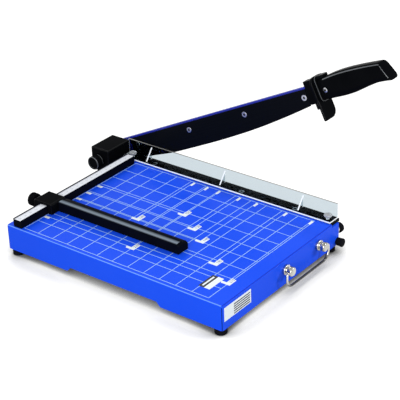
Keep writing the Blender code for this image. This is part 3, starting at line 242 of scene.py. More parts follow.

# Corner seams and folds
# The walls are bent down from the same sheet and meet at the two left corners in a thin open
# seam, into which the paint has run. A thin pale strip along the left fold is a painted
# highlight, and a thin dark strip along the front fold is painted shade.
SEAM_WIDTH = 0.0008
SEAM_DEPTH = 0.0002
SEAM_FROM_TOP = 0.0030
SEAM_FROM_BOTTOM = 0.0006
CORNER_CUT = 0.00088
FOLD_RADIUS = 0.0016
FOLD_SKIN = 0.00006
FOLD_ANGLES = (30, 72)
FOLD_STEPS = 6
FOLD_END_INSET = 0.0014
FOLD_HIGHLIGHT_BLUE = (0.10, 0.26, 0.92)
FOLD_HIGHLIGHT_BLUE_LIGHT = (0.22, 0.42, 0.97)
FOLD_SHADE_BLUE = (0.008, 0.030, 0.48)
FOLD_SHADE_BLUE_LIGHT = (0.010, 0.040, 0.58)
SEAM_BLUE = (0.002, 0.004, 0.05)
SEAM_BLUE_LIGHT = (0.003, 0.006, 0.08)


def spot(axis, along, first, second):
    """A point from its place along an axis and its two places across, in X, Y, Z order."""
    if axis == "X":
        return (along, first, second)
    if axis == "Y":
        return (first, along, second)
    return (first, second, along)


def pushed(axis, outline, start, end):
    """An outline pushed straight along an axis."""
    mesh = bmesh.new()
    near = [mesh.verts.new(spot(axis, start, *point)) for point in outline]
    far = [mesh.verts.new(spot(axis, end, *point)) for point in outline]
    mesh.faces.new(near)
    mesh.faces.new(far)
    for index in range(len(outline)):
        after = (index + 1) % len(outline)
        mesh.faces.new((near[index], near[after], far[after], far[index]))
    bmesh.ops.recalc_face_normals(mesh, faces=mesh.faces)
    return mesh


def fitted(name, mesh, finish, body, nodes=()):
    """Make one piece of the finished mesh, let it ride on its body and stand for its nodes."""
    bmesh.ops.recalc_face_normals(mesh, faces=mesh.faces)
    data = bpy.data.meshes.new(name)
    mesh.to_mesh(data)
    mesh.free()
    data.materials.append(finish)
    made = bpy.data.objects.new(name, data)
    bpy.context.scene.collection.objects.link(made)
    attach(made, body)
    if nodes:
        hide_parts(*nodes)
    return made


seam_paint = grained("seam_paint", SEAM_BLUE, SEAM_BLUE_LIGHT, PAINT, gloss=PAINT_GLOSS)
shell_low, shell_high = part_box("base_shell")
seam_mesh = bmesh.new()
for y, turn in ((shell_low.y + CORNER_CUT, pi / 4), (shell_high.y - CORNER_CUT, -pi / 4)):
    seam_low = shell_low.z + SEAM_FROM_BOTTOM
    seam_high = shell_high.z - SEAM_FROM_TOP
    strip = bmesh.ops.create_cube(seam_mesh, size=1)["verts"]
    size = Matrix.Diagonal((SEAM_DEPTH, SEAM_WIDTH, seam_high - seam_low, 1))
    place = Matrix.Translation((shell_low.x + CORNER_CUT, y, (seam_low + seam_high) / 2))
    bmesh.ops.transform(seam_mesh, matrix=place @ Matrix.Rotation(turn, 4, "Z") @ size, verts=strip)
fitted("corner_seams", seam_mesh, seam_paint, "base")

# The pale strip on the left fold is a painted highlight, and the dark strip on the front fold is painted
# shade.
painted_fold_highlight = grained("painted_fold_highlight", FOLD_HIGHLIGHT_BLUE, FOLD_HIGHLIGHT_BLUE_LIGHT, PAINT, gloss=PAINT_GLOSS)
painted_fold_shade = grained("painted_fold_shade", FOLD_SHADE_BLUE, FOLD_SHADE_BLUE_LIGHT, PAINT, gloss=PAINT_GLOSS)
fold_first, fold_last = (radians(angle) for angle in FOLD_ANGLES)
fold_turn = (fold_last - fold_first) / FOLD_STEPS
fold_angles = [fold_first + fold_turn * step for step in range(FOLD_STEPS + 1)]
fold_height = shell_high.z - FOLD_RADIUS
for name, axis, wall, start, end, finish in (
    ("left_fold_painted_highlight", "Y", shell_low.x, shell_low.y, shell_high.y, painted_fold_highlight),
    ("front_fold_painted_shade", "X", shell_low.y, shell_low.x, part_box("lower_knife")[0].x, painted_fold_shade),
):
    fold_outline = []
    for radius, angles in ((FOLD_RADIUS + FOLD_SKIN, fold_angles), (FOLD_RADIUS, fold_angles[::-1])):
        for angle in angles:
            outward = wall + FOLD_RADIUS - radius * cos(angle)
            fold_outline.append((outward, fold_height + radius * sin(angle)))
    fold_strip = pushed(axis, fold_outline, start + FOLD_END_INSET, end - FOLD_END_INSET)
    fitted(name, fold_strip, finish, "base")

# Printed grid
# Screen-printed lines over the paint: a square grid from the cutting edge and the fence, and the
# outlines of the common sheet sizes. The ink stands up by a few hundredths of a millimetre.
GRID_PITCH = 0.025
GRID_ACROSS = 10
GRID_ALONG = 12
PRINT_START = 0.0012
LINE_WIDTH = 0.0007
INK_HEIGHT = 0.00005
SHEET_CORNERS = (
    (0.210, 0.297), (0.182, 0.257), (0.148, 0.210), (0.128, 0.182), (0.105, 0.148),
    (0.148, 0.105), (0.210, 0.148), (0.182, 0.128),
)
INK_PALE = (0.40, 0.68, 0.88)
INK_PALE_LIGHT = (0.50, 0.76, 0.92)
INK = {"roughness": (0.40, 0.55), "clouds": 60, "grain": 1500, "height": 0.00001}


def printed_patch(mesh, corners, height):
    """One flat patch of ink with its corners given from the cut and from the fence."""
    low = [mesh.verts.new(on_table(*corner)) for corner in corners]
    high = [mesh.verts.new(on_table(*corner, height)) for corner in corners]
    mesh.faces.new(low)
    mesh.faces.new(high)
    for index in range(len(corners)):
        after = (index + 1) % len(corners)
        mesh.faces.new((low[index], low[after], high[after], high[index]))


def printed_line(mesh, start, end):
    """A straight printed line along or across the table."""
    half = LINE_WIDTH / 2
    wide = (half, 0) if start[0] == end[0] else (0, half)
    corners = (
        (start[0] - wide[0], start[1] - wide[1]), (end[0] - wide[0], end[1] - wide[1]),
        (end[0] + wide[0], end[1] + wide[1]), (start[0] + wide[0], start[1] + wide[1]),
    )
    printed_patch(mesh, corners, INK_HEIGHT)


pale_ink = grained("pale_ink", INK_PALE, INK_PALE_LIGHT, INK)
grid_left = GRID_PITCH * GRID_ACROSS
grid_front = GRID_PITCH * GRID_ALONG
grid_mesh = bmesh.new()
for step in range(1, GRID_ACROSS + 1):
    printed_line(grid_mesh, (GRID_PITCH * step, PRINT_START), (GRID_PITCH * step, grid_front))
for step in range(1, GRID_ALONG + 1):
    printed_line(grid_mesh, (GRID_PITCH, GRID_PITCH * step), (grid_left, GRID_PITCH * step))
printed_line(grid_mesh, (GRID_PITCH, PRINT_START), (grid_left, PRINT_START))
for size in {value for corner in SHEET_CORNERS for value in corner}:
    reach_left = max([wide for wide, long in SHEET_CORNERS if long == size], default=0)
    reach_front = max([long for wide, long in SHEET_CORNERS if wide == size], default=0)
    if reach_left:
        printed_line(grid_mesh, (GRID_PITCH, size), (reach_left, size))
    if reach_front:
        printed_line(grid_mesh, (size, PRINT_START), (size, reach_front))
fitted("printed_grid", grid_mesh, pale_ink, "base")

# Sheet-size marks
# White printed corners show where each sheet size ends, with its width in plain numbers on the
# tab, and short white bars repeat the lengths along the cut and the fence.
MARK_HEIGHT = 0.00008
MARK_BAR_WIDTH = 0.0042
MARK_BAR_ABOVE = 0.0075
MARK_BAR_BELOW = 0.0070
MARK_SLANT = 0.0015
MARK_TAB_LENGTH = 0.0115
CUT_BAR_START = 0.0262
CUT_BAR_LENGTH = 0.0090
CUT_BAR_WIDTH = 0.0036
FENCE_BAR_LENGTH = 0.0100
NUMBER_SIZE = 0.0060
NUMBER_HEIGHT = 0.00002
NUMBER_SMOOTHNESS = 3
MM_PER_METRE = 1000
INK_WHITE = (0.80, 0.88, 0.93)
INK_WHITE_LIGHT = (0.88, 0.94, 0.98)
NUMBER_BLUE = (0.02, 0.05, 0.28)


def numbers(mesh, text, size, place):
    """Plain digits, cut out as thin raised ink and put in place by a matrix."""
    curve = bpy.data.curves.new("digits", "FONT")
    curve.body = text
    curve.size = size
    curve.align_x = "CENTER"
    curve.align_y = "CENTER"
    curve.extrude = NUMBER_HEIGHT
    curve.resolution_u = NUMBER_SMOOTHNESS
    holder = bpy.data.objects.new("digits", curve)
    bpy.context.scene.collection.objects.link(holder)
    flat = bpy.data.meshes.new_from_object(holder.evaluated_get(bpy.context.evaluated_depsgraph_get()))
    flat.transform(place)
    mesh.from_mesh(flat)
    bpy.data.meshes.remove(flat)
    bpy.data.objects.remove(holder)
    bpy.data.curves.remove(curve)


white_ink = grained("white_ink", INK_WHITE, INK_WHITE_LIGHT, INK)
blue_ink = grained("blue_ink", NUMBER_BLUE, NUMBER_BLUE, INK)
mark_mesh = bmesh.new()
number_mesh = bmesh.new()
for wide, long in SHEET_CORNERS:
    outer = wide + MARK_BAR_WIDTH
    inner = wide - MARK_TAB_LENGTH
    bottom = long + MARK_BAR_BELOW
    bar = [(outer, long - MARK_BAR_ABOVE + MARK_SLANT), (wide, long - MARK_BAR_ABOVE), (wide, bottom)]
    printed_patch(mark_mesh, [*bar, (outer, bottom)], MARK_HEIGHT)
    tab = [(wide, long), (inner, long), (inner + MARK_SLANT, bottom), (wide, bottom)]
    printed_patch(mark_mesh, tab, MARK_HEIGHT)
    middle = on_table(wide - MARK_TAB_LENGTH / 2, long + MARK_BAR_BELOW / 2, MARK_HEIGHT)
    numbers(number_mesh, str(round(wide * MM_PER_METRE)), NUMBER_SIZE, Matrix.Translation(middle))
for long in sorted({corner[1] for corner in SHEET_CORNERS}):
    end = CUT_BAR_START + CUT_BAR_LENGTH
    bar = [(CUT_BAR_START, long), (end, long), (end + MARK_SLANT / 2, long + CUT_BAR_WIDTH)]
    printed_patch(mark_mesh, [*bar, (CUT_BAR_START + MARK_SLANT / 2, long + CUT_BAR_WIDTH)], MARK_HEIGHT)
for wide in sorted({corner[0] for corner in SHEET_CORNERS}):
    outer = wide + MARK_BAR_WIDTH
    bar = [(wide, PRINT_START), (outer, PRINT_START)]
    bar += [(outer, FENCE_BAR_LENGTH), (wide, FENCE_BAR_LENGTH)]
    printed_patch(mark_mesh, bar, MARK_HEIGHT)
fitted("sheet_marks", mark_mesh, white_ink, "base")
fitted("sheet_numbers", number_mesh, blue_ink, "base")

# Blank name block and blank sticker
# A black bar over a white bar is printed near the front left corner, and a plain white sticker
# with ruled lines is stuck to the front wall. Both are left empty.
BLOCK_LEFT = 0.2345
BLOCK_RIGHT = 0.2055
BLACK_BAR = (0.2728, 0.2812)
WHITE_BAR = (0.2812, 0.2896)
STRIPE_INSET = 0.0029
STICKER_FROM_CUT = (0.1985, 0.2520)
STICKER_BELOW_TABLE = (0.0050, 0.0238)
STICKER_THICKNESS = 0.00012
STICKER_RULES = 5
RULE_RAISE_SHARE = 1.3
BLOCK_RAISE_SHARE = 1.5
STRIPE_RAISE_SHARE = 2
STICKER_RULE_SHARE = 0.18
RULED_FROM_CUT = (0.2005, 0.2330)
BLOCK_BLACK = (0.004, 0.004, 0.008)
RULE_GREY = (0.03, 0.035, 0.05)


def block_patch(mesh, left, right, near_fence, far, height):
    """A rectangle of ink between two distances from the cut and two from the fence."""
    printed_patch(mesh, ((left, near_fence), (right, near_fence), (right, far), (left, far)), height)


def add_block(mesh, low, high):
    """Add a plain box between two corners to a mesh."""
    low, high = Vector(low), Vector(high)
    box = bmesh.ops.create_cube(mesh, size=1)["verts"]
    place = Matrix.Translation((low + high) / 2) @ Matrix.Diagonal((*(high - low), 1))
    bmesh.ops.transform(mesh, matrix=place, verts=box)


def wall_patch(mesh, from_cut, below_table, outward):
    """A thin rectangle stuck to the front wall, standing out by the given amount."""
    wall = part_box("base_shell")[0].y
    right, left = (cut_x - distance for distance in from_cut)
    high, low = (table_top - distance for distance in below_table)
    add_block(mesh, (left, wall - outward, low), (right, wall + outward, high))


black_ink = grained("black_ink", BLOCK_BLACK, BLOCK_BLACK, INK)
grey_ink = grained("grey_ink", RULE_GREY, RULE_GREY, INK)
black_mesh = bmesh.new()
block_patch(black_mesh, BLOCK_LEFT, BLOCK_RIGHT, *BLACK_BAR, MARK_HEIGHT * BLOCK_RAISE_SHARE)
fitted("name_block_black", black_mesh, black_ink, "base")
white_mesh = bmesh.new()
block_patch(white_mesh, BLOCK_LEFT, BLOCK_RIGHT, *WHITE_BAR, MARK_HEIGHT * BLOCK_RAISE_SHARE)
stripe = (BLACK_BAR[0] + STRIPE_INSET, BLACK_BAR[1] - STRIPE_INSET)
stripe_left = BLOCK_LEFT - STRIPE_INSET
stripe_right = BLOCK_RIGHT + STRIPE_INSET
block_patch(white_mesh, stripe_left, stripe_right, *stripe, MARK_HEIGHT * STRIPE_RAISE_SHARE)
fitted("name_block_white", white_mesh, white_ink, "base")
sticker_mesh = bmesh.new()
wall_patch(sticker_mesh, STICKER_FROM_CUT, STICKER_BELOW_TABLE, STICKER_THICKNESS)
fitted("blank_sticker", sticker_mesh, white_ink, "base")
rule_mesh = bmesh.new()
sticker_tall = STICKER_BELOW_TABLE[1] - STICKER_BELOW_TABLE[0]
for index in range(STICKER_RULES):
    rule_top = STICKER_BELOW_TABLE[0] + sticker_tall * (index + 1) / (STICKER_RULES + 1)
    rule_bottom = rule_top + sticker_tall * STICKER_RULE_SHARE / 2
    wall_patch(rule_mesh, RULED_FROM_CUT, (rule_top, rule_bottom), STICKER_THICKNESS * RULE_RAISE_SHARE)
fitted("sticker_rules", rule_mesh, grey_ink, "base")

# Feet
# Four turned feet of black rubber, each held by a zinc-plated screw from below.
RUBBER_BLACK = (0.004, 0.004, 0.006)
RUBBER_GREY = (0.009, 0.009, 0.012)
RUBBER_GLOSS = 0.02
RUBBER = {"roughness": (0.62, 0.82), "clouds": 90, "grain": 1200, "height": 0.00004}
ZINC_DARK = (0.42, 0.43, 0.46)
ZINC_LIGHT = (0.62, 0.63, 0.66)
ZINC = {"roughness": (0.22, 0.40), "clouds": 260, "grain": 1600, "height": 0.000008}
FOOT_COUNT = 4

rubber = grained("rubber", RUBBER_BLACK, RUBBER_GREY, RUBBER, gloss=RUBBER_GLOSS)
zinc = grained("zinc", ZINC_DARK, ZINC_LIGHT, ZINC, metal=1)
for number in range(1, FOOT_COUNT + 1):
    coat_node(f"foot_{number}", rubber)
    coat_node(f"foot_screw_{number}", zinc)

# Lower knife
# A flat bar of blackened steel, let in flush with the table along the cut and ground square, so
# that its grain runs along its length.
STEEL_BLACK = (0.0015, 0.0020, 0.0035)
STEEL_SHEEN = (0.0050, 0.0060, 0.0090)
STEEL = {"roughness": (0.22, 0.34), "clouds": 9, "grain": 500, "height": 0.00001}
STEEL_GLOSS = 0.015
ALONG_Y = (1, 30, 1)

black_steel = grained("black_steel", STEEL_BLACK, STEEL_SHEEN, STEEL, gloss=STEEL_GLOSS, stretch=ALONG_Y)
coat_node("lower_knife", black_steel)

# Knife screws
# Countersunk screws with a hexagon socket hold both knives. Their zinc-plated heads lie flush,
# and the sockets are painted dark as shade.
SINK_RADIUS = 0.0040
SINK_DEPTH = 0.0018
SINK_SHANK_RADIUS = 0.0021
HEX_RADIUS = 0.0019
HEX_DEPTH = 0.0013
HEX_SIDES = 6
SOCKET_SHADE_DARK = (0.010, 0.010, 0.012)
SOCKET_SHADE_LIGHT = (0.030, 0.030, 0.034)
HEAD_EASE = 0.00025
SCREW_SIDES = 40
LOWER_SCREW_COUNT = 3
CORNER_ANGLE = 35


def turned(axis, centre, profile, sides, ring=False):
    """A solid turned about an axis through centre, from a profile of radius and place along it."""
    mesh = bmesh.new()
    loops = []
    for radius, along in profile:
        if radius == 0:
            loops.append([mesh.verts.new(spot(axis, along, *centre))])
            continue
        loop = []
        for index in range(sides):
            angle = tau * index / sides
            point = (centre[0] + radius * cos(angle), centre[1] + radius * sin(angle))
            loop.append(mesh.verts.new(spot(axis, along, *point)))
        loops.append(loop)
    following = loops[1:] + loops[:1] if ring else loops[1:]
    for low, high in zip(loops, following):
        for index in range(sides):
            after = (index + 1) % sides
            corners = [low[index % len(low)], low[after % len(low)]]
            corners += [high[after % len(high)], high[index % len(high)]]
            mesh.faces.new(list(dict.fromkeys(corners)))
    bmesh.ops.recalc_face_normals(mesh, faces=mesh.faces)
    return mesh


def block(low, high):
    """A plain box between two corners, for cutting or for rounding later."""
    mesh = bmesh.new()
    add_block(mesh, low, high)
    return mesh


def rod(axis, centre, radius, start, end, sides):
    """A plain rod along an axis, round or with a few flat sides."""
    return turned(axis, centre, ((0, start), (radius, start), (radius, end), (0, end)), sides)


def seen_along(axis, node):
    """The middle of a piece's box, as a point across an axis."""
    low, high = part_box(node)
    return tuple((low[index] + high[index]) / 2 for index in range(3) if index != "XYZ".index(axis))


def worked(mesh, tools, operation="DIFFERENCE"):
    """Cut tools from a solid, or weld them to it, one after the other."""
    holders = []
    for shape in (mesh, *tools):
        data = bpy.data.meshes.new("blank")
        shape.to_mesh(data)
        shape.free()
        for _ in ("outside", "socket"):
            data.materials.append(None)
        holder = bpy.data.objects.new("blank", data)
        bpy.context.scene.collection.objects.link(holder)
        holders.append(holder)
    for tool in holders[1:]:
        step = holders[0].modifiers.new("step", "BOOLEAN")
        step.operation = operation
        step.object = tool
    bpy.context.view_layer.update()
    evaluated = holders[0].evaluated_get(bpy.context.evaluated_depsgraph_get())
    result = bmesh.new()
    result.from_mesh(evaluated.to_mesh())
    evaluated.to_mesh_clear()
    for holder in holders:
        data = holder.data
        bpy.data.objects.remove(holder)
        bpy.data.meshes.remove(data)
    return result


def hexagon(axis, centre, face, inward, radius, depth):
    """The cutter for a hexagon socket that is sunk from a face and has a finish of its own."""
    cutter = rod(axis, centre, radius, face - inward * depth, face + inward * depth, HEX_SIDES)
    for side in cutter.faces:
        side.material_index = 1
    return cutter


def softened(made, angle=CORNER_ANGLE):
    """Shade a piece smooth where it is round and keep its real corners crisp."""
    made.data.shade_smooth()
    made.data.set_sharp_from_angle(angle=radians(angle))
    return made


def hexagon_screw(axis, centre, face, inward, reach):
    """A countersunk screw with a hexagon socket, its head flush with a face."""
    neck = face + inward * SINK_DEPTH
    tip = face + inward * reach
    profile = ((0, face), (SINK_RADIUS - HEAD_EASE, face), (SINK_RADIUS, face + inward * HEAD_EASE))
    profile += ((SINK_SHANK_RADIUS, neck), (SINK_SHANK_RADIUS, tip), (0, tip))
    socket = hexagon(axis, centre, face, inward, HEX_RADIUS, HEX_DEPTH)
    return worked(turned(axis, centre, profile, SCREW_SIDES), [socket])


def fixed(name, screw, body, node):
    """Put a screw with a socket in its place: bright metal outside, painted shade in the socket."""
    made = softened(fitted(name, screw, zinc, body, (node,)))
    made.data.materials.append(painted_socket_shade)


# The near-black socket finish is painted shade in the recess.
painted_socket_shade = grained("painted_socket_shade", SOCKET_SHADE_DARK, SOCKET_SHADE_LIGHT, RUBBER, gloss=RUBBER_GLOSS)
for number in range(1, LOWER_SCREW_COUNT + 1):
    node = f"lower_knife_screw_{number}"
    low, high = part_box(node)
    screw = hexagon_screw("Z", seen_along("Z", node), high.z, -1, high.z - low.z)
    fixed(f"knife_screw_{number}", screw, "base", node)
    coat_node(f"lower_knife_nut_{number}", zinc)

# Fence and ruler
# The paper fence is a satin black metal bar screwed to the table from below. A white ruler strip
# lies in a groove along its top, printed in millimetres from the cut, with a dark line at its back.
SATIN_BLACK = (0.0015, 0.0020, 0.0050)
SATIN_BLACK_LIGHT = (0.0040, 0.0050, 0.0090)
SATIN = {"roughness": (0.24, 0.36), "clouds": 30, "grain": 900, "height": 0.00002}
SATIN_GLOSS = 0.006
RULER_WHITE = (0.76, 0.80, 0.88)
RULER_WHITE_LIGHT = (0.84, 0.87, 0.93)
TICK_HEIGHT = 0.00003
TICK_WIDTH = 0.00022
TICK_PITCH = 0.001
TICK_LONG = 0.0042
TICK_MIDDLE = 0.0032
TICK_SHORT = 0.0022
TICKS_PER_NUMBER = 10
TICKS_PER_HALF = 5
TICK_FROM_BACK = 0.0003
RULER_NUMBER_SIZE = 0.0036
RULER_NUMBER_FROM_BACK = 0.0066
TICK_GREY = (0.30, 0.32, 0.36)
LIP_WIDTH = 0.0009
LIP_DARK = (0.010, 0.012, 0.040)


def tick_length(count):
    """Long ticks at the numbers, middling ones halfway and short ones between."""
    if count % TICKS_PER_NUMBER == 0:
        return TICK_LONG
    return TICK_SHORT if count % TICKS_PER_HALF else TICK_MIDDLE


satin_black = grained("satin_black", SATIN_BLACK, SATIN_BLACK_LIGHT, SATIN, gloss=SATIN_GLOSS)
ruler_white = grained("ruler_white", RULER_WHITE, RULER_WHITE_LIGHT, INK)
tick_ink = grained("tick_ink", TICK_GREY, TICK_GREY, INK)
coat_node("fence_rail", satin_black)
coat_node("fence_ruler", ruler_white)
coat_node("fence_screw_1", zinc)
coat_node("fence_screw_2", zinc)
ruler_low, ruler_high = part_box("fence_ruler")
tick_mesh = bmesh.new()
first_tick = int((cut_x - ruler_high.x) / TICK_PITCH) + 1
last_tick = int((cut_x - ruler_low.x) / TICK_PITCH)
tick_back = ruler_high.y - TICK_FROM_BACK
for count in range(first_tick, last_tick + 1):
    x = cut_x - count * TICK_PITCH
    low = (x - TICK_WIDTH / 2, tick_back - tick_length(count), ruler_high.z - TICK_HEIGHT)
    add_block(tick_mesh, low, (x + TICK_WIDTH / 2, tick_back, ruler_high.z + TICK_HEIGHT))
    if count % TICKS_PER_NUMBER == 0:
        place = Vector((x, ruler_high.y - RULER_NUMBER_FROM_BACK, ruler_high.z + TICK_HEIGHT / 2))
        text = str(count // TICKS_PER_NUMBER)
        numbers(tick_mesh, text, RULER_NUMBER_SIZE, Matrix.Translation(place))
fitted("ruler_print", tick_mesh, tick_ink, "base")
lip_ink = grained("lip_ink", LIP_DARK, LIP_DARK, INK)
lip_low = (ruler_low.x, ruler_high.y - LIP_WIDTH, ruler_high.z - TICK_HEIGHT)
lip = block(lip_low, (ruler_high.x, ruler_high.y, ruler_high.z + 2 * TICK_HEIGHT))
fitted("ruler_lip", lip, lip_ink, "base")

# Gauge
# A moulded black block straddles the fence and carries a long satin black bar, whose ridge has
# a painted highlight up to its sloping nose. A screw with a knurled knob clamps it from behind.
MOULD_BLACK = (0.0015, 0.0018, 0.0024)
MOULD_BLACK_LIGHT = (0.0040, 0.0044, 0.0055)
MOULD = {"roughness": (0.16, 0.24), "clouds": 40, "grain": 1400, "height": 0.000012}
MOULD_GLOSS = 0.006
MOULD_EDGE_GLOSS = 0.10
# Thin bright lines on the mouldings: a real higher gloss, and a lighter grey that is a painted highlight.
HIGHLIGHT_LINE_GREY = (0.09, 0.10, 0.11)
HIGHLIGHT_LINE_GREY_LIGHT = (0.15, 0.16, 0.17)
HIGHLIGHT_LINE_GLOSS = 0.35
BAR_HIGHLIGHT_GREY = (0.22, 0.27, 0.33)
SADDLE_GAP = 0.0003
SADDLE_CHAMFER = 0.0015
SADDLE_EASE = 0.0005
BAR_CREST = 0.0050
BAR_LEFT_DROP = 0.0009
BAR_RIGHT_DROP = 0.0038
BAR_CURVE_STEPS = 8
BAR_HIGHLIGHT_SHARES = (0.02, 0.06, 0.14, 0.26, 0.44)
BAR_HIGHLIGHT_LEVELS = (0.00, 0.30, 1.00, 0.70, 0.00)
BAR_EASE = 0.0009
BAR_NOSE = 0.0030
BAR_NOSE_SHARE = 0.78
KNOB_FLUTES = 30
KNOB_FLUTE_DEPTH = 0.0006
KNOB_SIDES = 6 * KNOB_FLUTES
FLUTED_RIM_SHARE = 0.93
KNOB_ROUND = 0.0010
KNOB_NECK_RADIUS = 0.0048
KNOB_NECK_LENGTH = 0.003
KNOB_FACE_DISH = 0.0012
KNOB_RIM = 0.0020
EASE_SEGMENTS = 3


def eased(made, width, segments=EASE_SEGMENTS, edge_finish=None):
    """Round every real edge of a moulded or machined piece, with a finish of its own if given."""
    made.data.shade_smooth()
    ease = made.modifiers.new("eased edges", "BEVEL")
    ease.width = width
    ease.segments = segments
    ease.limit_method = "ANGLE"
    ease.angle_limit = radians(CORNER_ANGLE)
    if edge_finish:
        made.data.materials.append(edge_finish)
        ease.material = len(made.data.materials) - 1
    even = made.modifiers.new("even shading", "WEIGHTED_NORMAL")
    even.keep_sharp = True
    return made


def rubbed(name, finish, axis, span, shares, levels, colour):
    """A copy of a finish with a band across one axis mixed to another colour: painted light, as a
    highlight on the gauge bar and a dark reflection on the bail.
    """
    made = finish.copy()
    made.name = name
    tree = made.node_tree
    shader = tree.nodes["Principled BSDF"]
    place = added(tree, "TexCoord")
    parts = added(tree, "SeparateXYZ", {"Vector": place.outputs["Object"]})
    across = added(tree, "MapRange", {
        "From Min": span[0], "From Max": span[1], "Value": parts.outputs[axis],
    })
    band = added(tree, "ValToRGB", {"Fac": across.outputs["Result"]})
    stops = band.color_ramp.elements
    stops[1].position, stops[0].position = shares[-1], shares[0]
    for share in shares[1:-1]:
        stops.new(share)
    for stop, level in zip(stops, levels):
        stop.color = (level, level, level, 1)
    mixed = added(tree, "Mix", {
        "A": shader.inputs["Base Color"].links[0].from_socket, "B": (*colour, 1),
        "Factor": band.outputs["Color"],
    }, data_type="RGBA")
    connected(tree, shader, {"Base Color": mixed.outputs["Result"]})
    return made


def fluted(mesh, axis_point, axis, radius, flutes, depth):
    """Press even grooves into the rim of a turned knob."""
    first, second = [index for index in range(3) if index != "XYZ".index(axis)]
    for vertex in mesh.verts:
        across = vertex.co[first] - axis_point[0]
        up = vertex.co[second] - axis_point[1]
        reach = hypot(across, up)
        if reach < radius * FLUTED_RIM_SHARE:
            continue
        groove = depth * (1 - cos(atan2(up, across) * flutes)) / 2
        vertex.co[first] -= across / reach * groove
        vertex.co[second] -= up / reach * groove
    return mesh


moulded_black = grained("moulded_black", MOULD_BLACK, MOULD_BLACK_LIGHT, MOULD, gloss=MOULD_GLOSS)
moulded_edge = grained("moulded_edge", MOULD_BLACK, MOULD_BLACK_LIGHT, MOULD, gloss=MOULD_EDGE_GLOSS)
# The lighter, glossier copy of the moulding paints highlight lines on rims and ridges.
painted_highlight_lines = grained("painted_highlight_lines", HIGHLIGHT_LINE_GREY, HIGHLIGHT_LINE_GREY_LIGHT, MOULD, gloss=HIGHLIGHT_LINE_GLOSS)
saddle_low, saddle_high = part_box("gauge_block")
rail_low, rail_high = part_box("fence_rail")
slack = rail_low.y - fence_y + SADDLE_GAP
roof = rail_high.z + SADDLE_GAP
saddle_outline = [
    (saddle_low.y, saddle_low.z), (rail_low.y - slack, saddle_low.z), (rail_low.y - slack, roof),
    (rail_high.y + slack, roof), (rail_high.y + slack, saddle_low.z), (saddle_high.y, saddle_low.z),
    (saddle_high.y, saddle_high.z - SADDLE_CHAMFER), (saddle_high.y - SADDLE_CHAMFER, saddle_high.z),
    (saddle_low.y + SADDLE_CHAMFER, saddle_high.z), (saddle_low.y, saddle_high.z - SADDLE_CHAMFER),
]
saddle = pushed("X", saddle_outline, saddle_low.x, saddle_high.x)
gauge_saddle = fitted("gauge_saddle", saddle, moulded_black, "gauge", ("gauge_block",))
eased(gauge_saddle, SADDLE_EASE, edge_finish=moulded_edge)

bar_low, bar_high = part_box("gauge_bar")
bar_back = saddle_low.y - SADDLE_GAP
bar_wide = bar_high.x - bar_low.x
bar_section = [(bar_low.x, bar_low.z), (bar_high.x, bar_low.z)]
for step in range(BAR_CURVE_STEPS + 1):
    share = 1 - step / BAR_CURVE_STEPS
    x = bar_low.x + BAR_CREST + (bar_wide - BAR_CREST) * share
    bar_section.append((x, bar_high.z - BAR_RIGHT_DROP * share**2))
for step in range(1, BAR_CURVE_STEPS + 1):
    share = step / BAR_CURVE_STEPS
    bar_section.append((bar_low.x + BAR_CREST * (1 - share), bar_high.z - BAR_LEFT_DROP * share**2))
# The lighter band near the bar's left edge is a painted highlight, fading across the bar's width.
highlighted_black = rubbed(
    "highlighted_black", satin_black, "X", (bar_low.x, bar_high.x),
    BAR_HIGHLIGHT_SHARES, BAR_HIGHLIGHT_LEVELS, BAR_HIGHLIGHT_GREY,
)
bar_mesh = bmesh.new()
bar_rings = []
for y, share in ((bar_back, 1), (bar_low.y + BAR_NOSE, 1), (bar_low.y, BAR_NOSE_SHARE)):
    ring = [(x, y, bar_low.z + (z - bar_low.z) * share) for x, z in bar_section]
    bar_rings.append([bar_mesh.verts.new(point) for point in ring])
bar_mesh.faces.new(bar_rings[0])
bar_mesh.faces.new(bar_rings[-1]).material_index = 1
for finish_index, (near_ring, far_ring) in enumerate(zip(bar_rings, bar_rings[1:])):
    for index in range(len(bar_section)):
        after = (index + 1) % len(bar_section)
        side = bar_mesh.faces.new((near_ring[index], near_ring[after], far_ring[after], far_ring[index]))
        side.material_index = finish_index
straightedge = fitted("gauge_straightedge", bar_mesh, highlighted_black, "gauge", ("gauge_bar",))
straightedge.data.materials.append(satin_black)
eased(straightedge, BAR_EASE)

knob_low, knob_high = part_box("gauge_knob")
knob_centre = seen_along("Y", "gauge_knob")
knob_radius = (knob_high.z - knob_low.z) / 2
knob_face = knob_low.y + KNOB_NECK_LENGTH
knob_rim = knob_radius - KNOB_ROUND
knob_profile = [(0, knob_low.y), (KNOB_NECK_RADIUS, knob_low.y), (KNOB_NECK_RADIUS, knob_face)]
knob_profile += [(knob_rim, knob_face), (knob_radius, knob_face + KNOB_ROUND)]
knob_profile += [(knob_radius, knob_high.y - KNOB_ROUND), (knob_rim, knob_high.y)]
knob_profile += [(knob_rim - KNOB_RIM, knob_high.y), (knob_rim - KNOB_RIM, knob_high.y - KNOB_FACE_DISH)]
knob_profile.append((0, knob_high.y - KNOB_FACE_DISH))
knob = turned("Y", knob_centre, knob_profile, KNOB_SIDES)
fluted(knob, knob_centre, "Y", knob_radius, KNOB_FLUTES, KNOB_FLUTE_DEPTH)
softened(fitted("clamp_knob", knob, moulded_black, "clamp", ("gauge_knob",)))
coat_node("gauge_screw", zinc)

# Pivot housing
# The arm turns in a moulded black block that is screwed to the back wall of the table.
HOUSING_EASE = 0.0016
HOUSING_SEGMENTS = 4

housing_low, housing_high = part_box("pivot_housing")
housing = block(housing_low, housing_high)
hinge_block = fitted("hinge_block", housing, moulded_black, "base", ("pivot_housing",))
eased(hinge_block, HOUSING_EASE, HOUSING_SEGMENTS, edge_finish=moulded_edge)
coat_node("housing_screw_1", zinc)
coat_node("housing_screw_2", zinc)

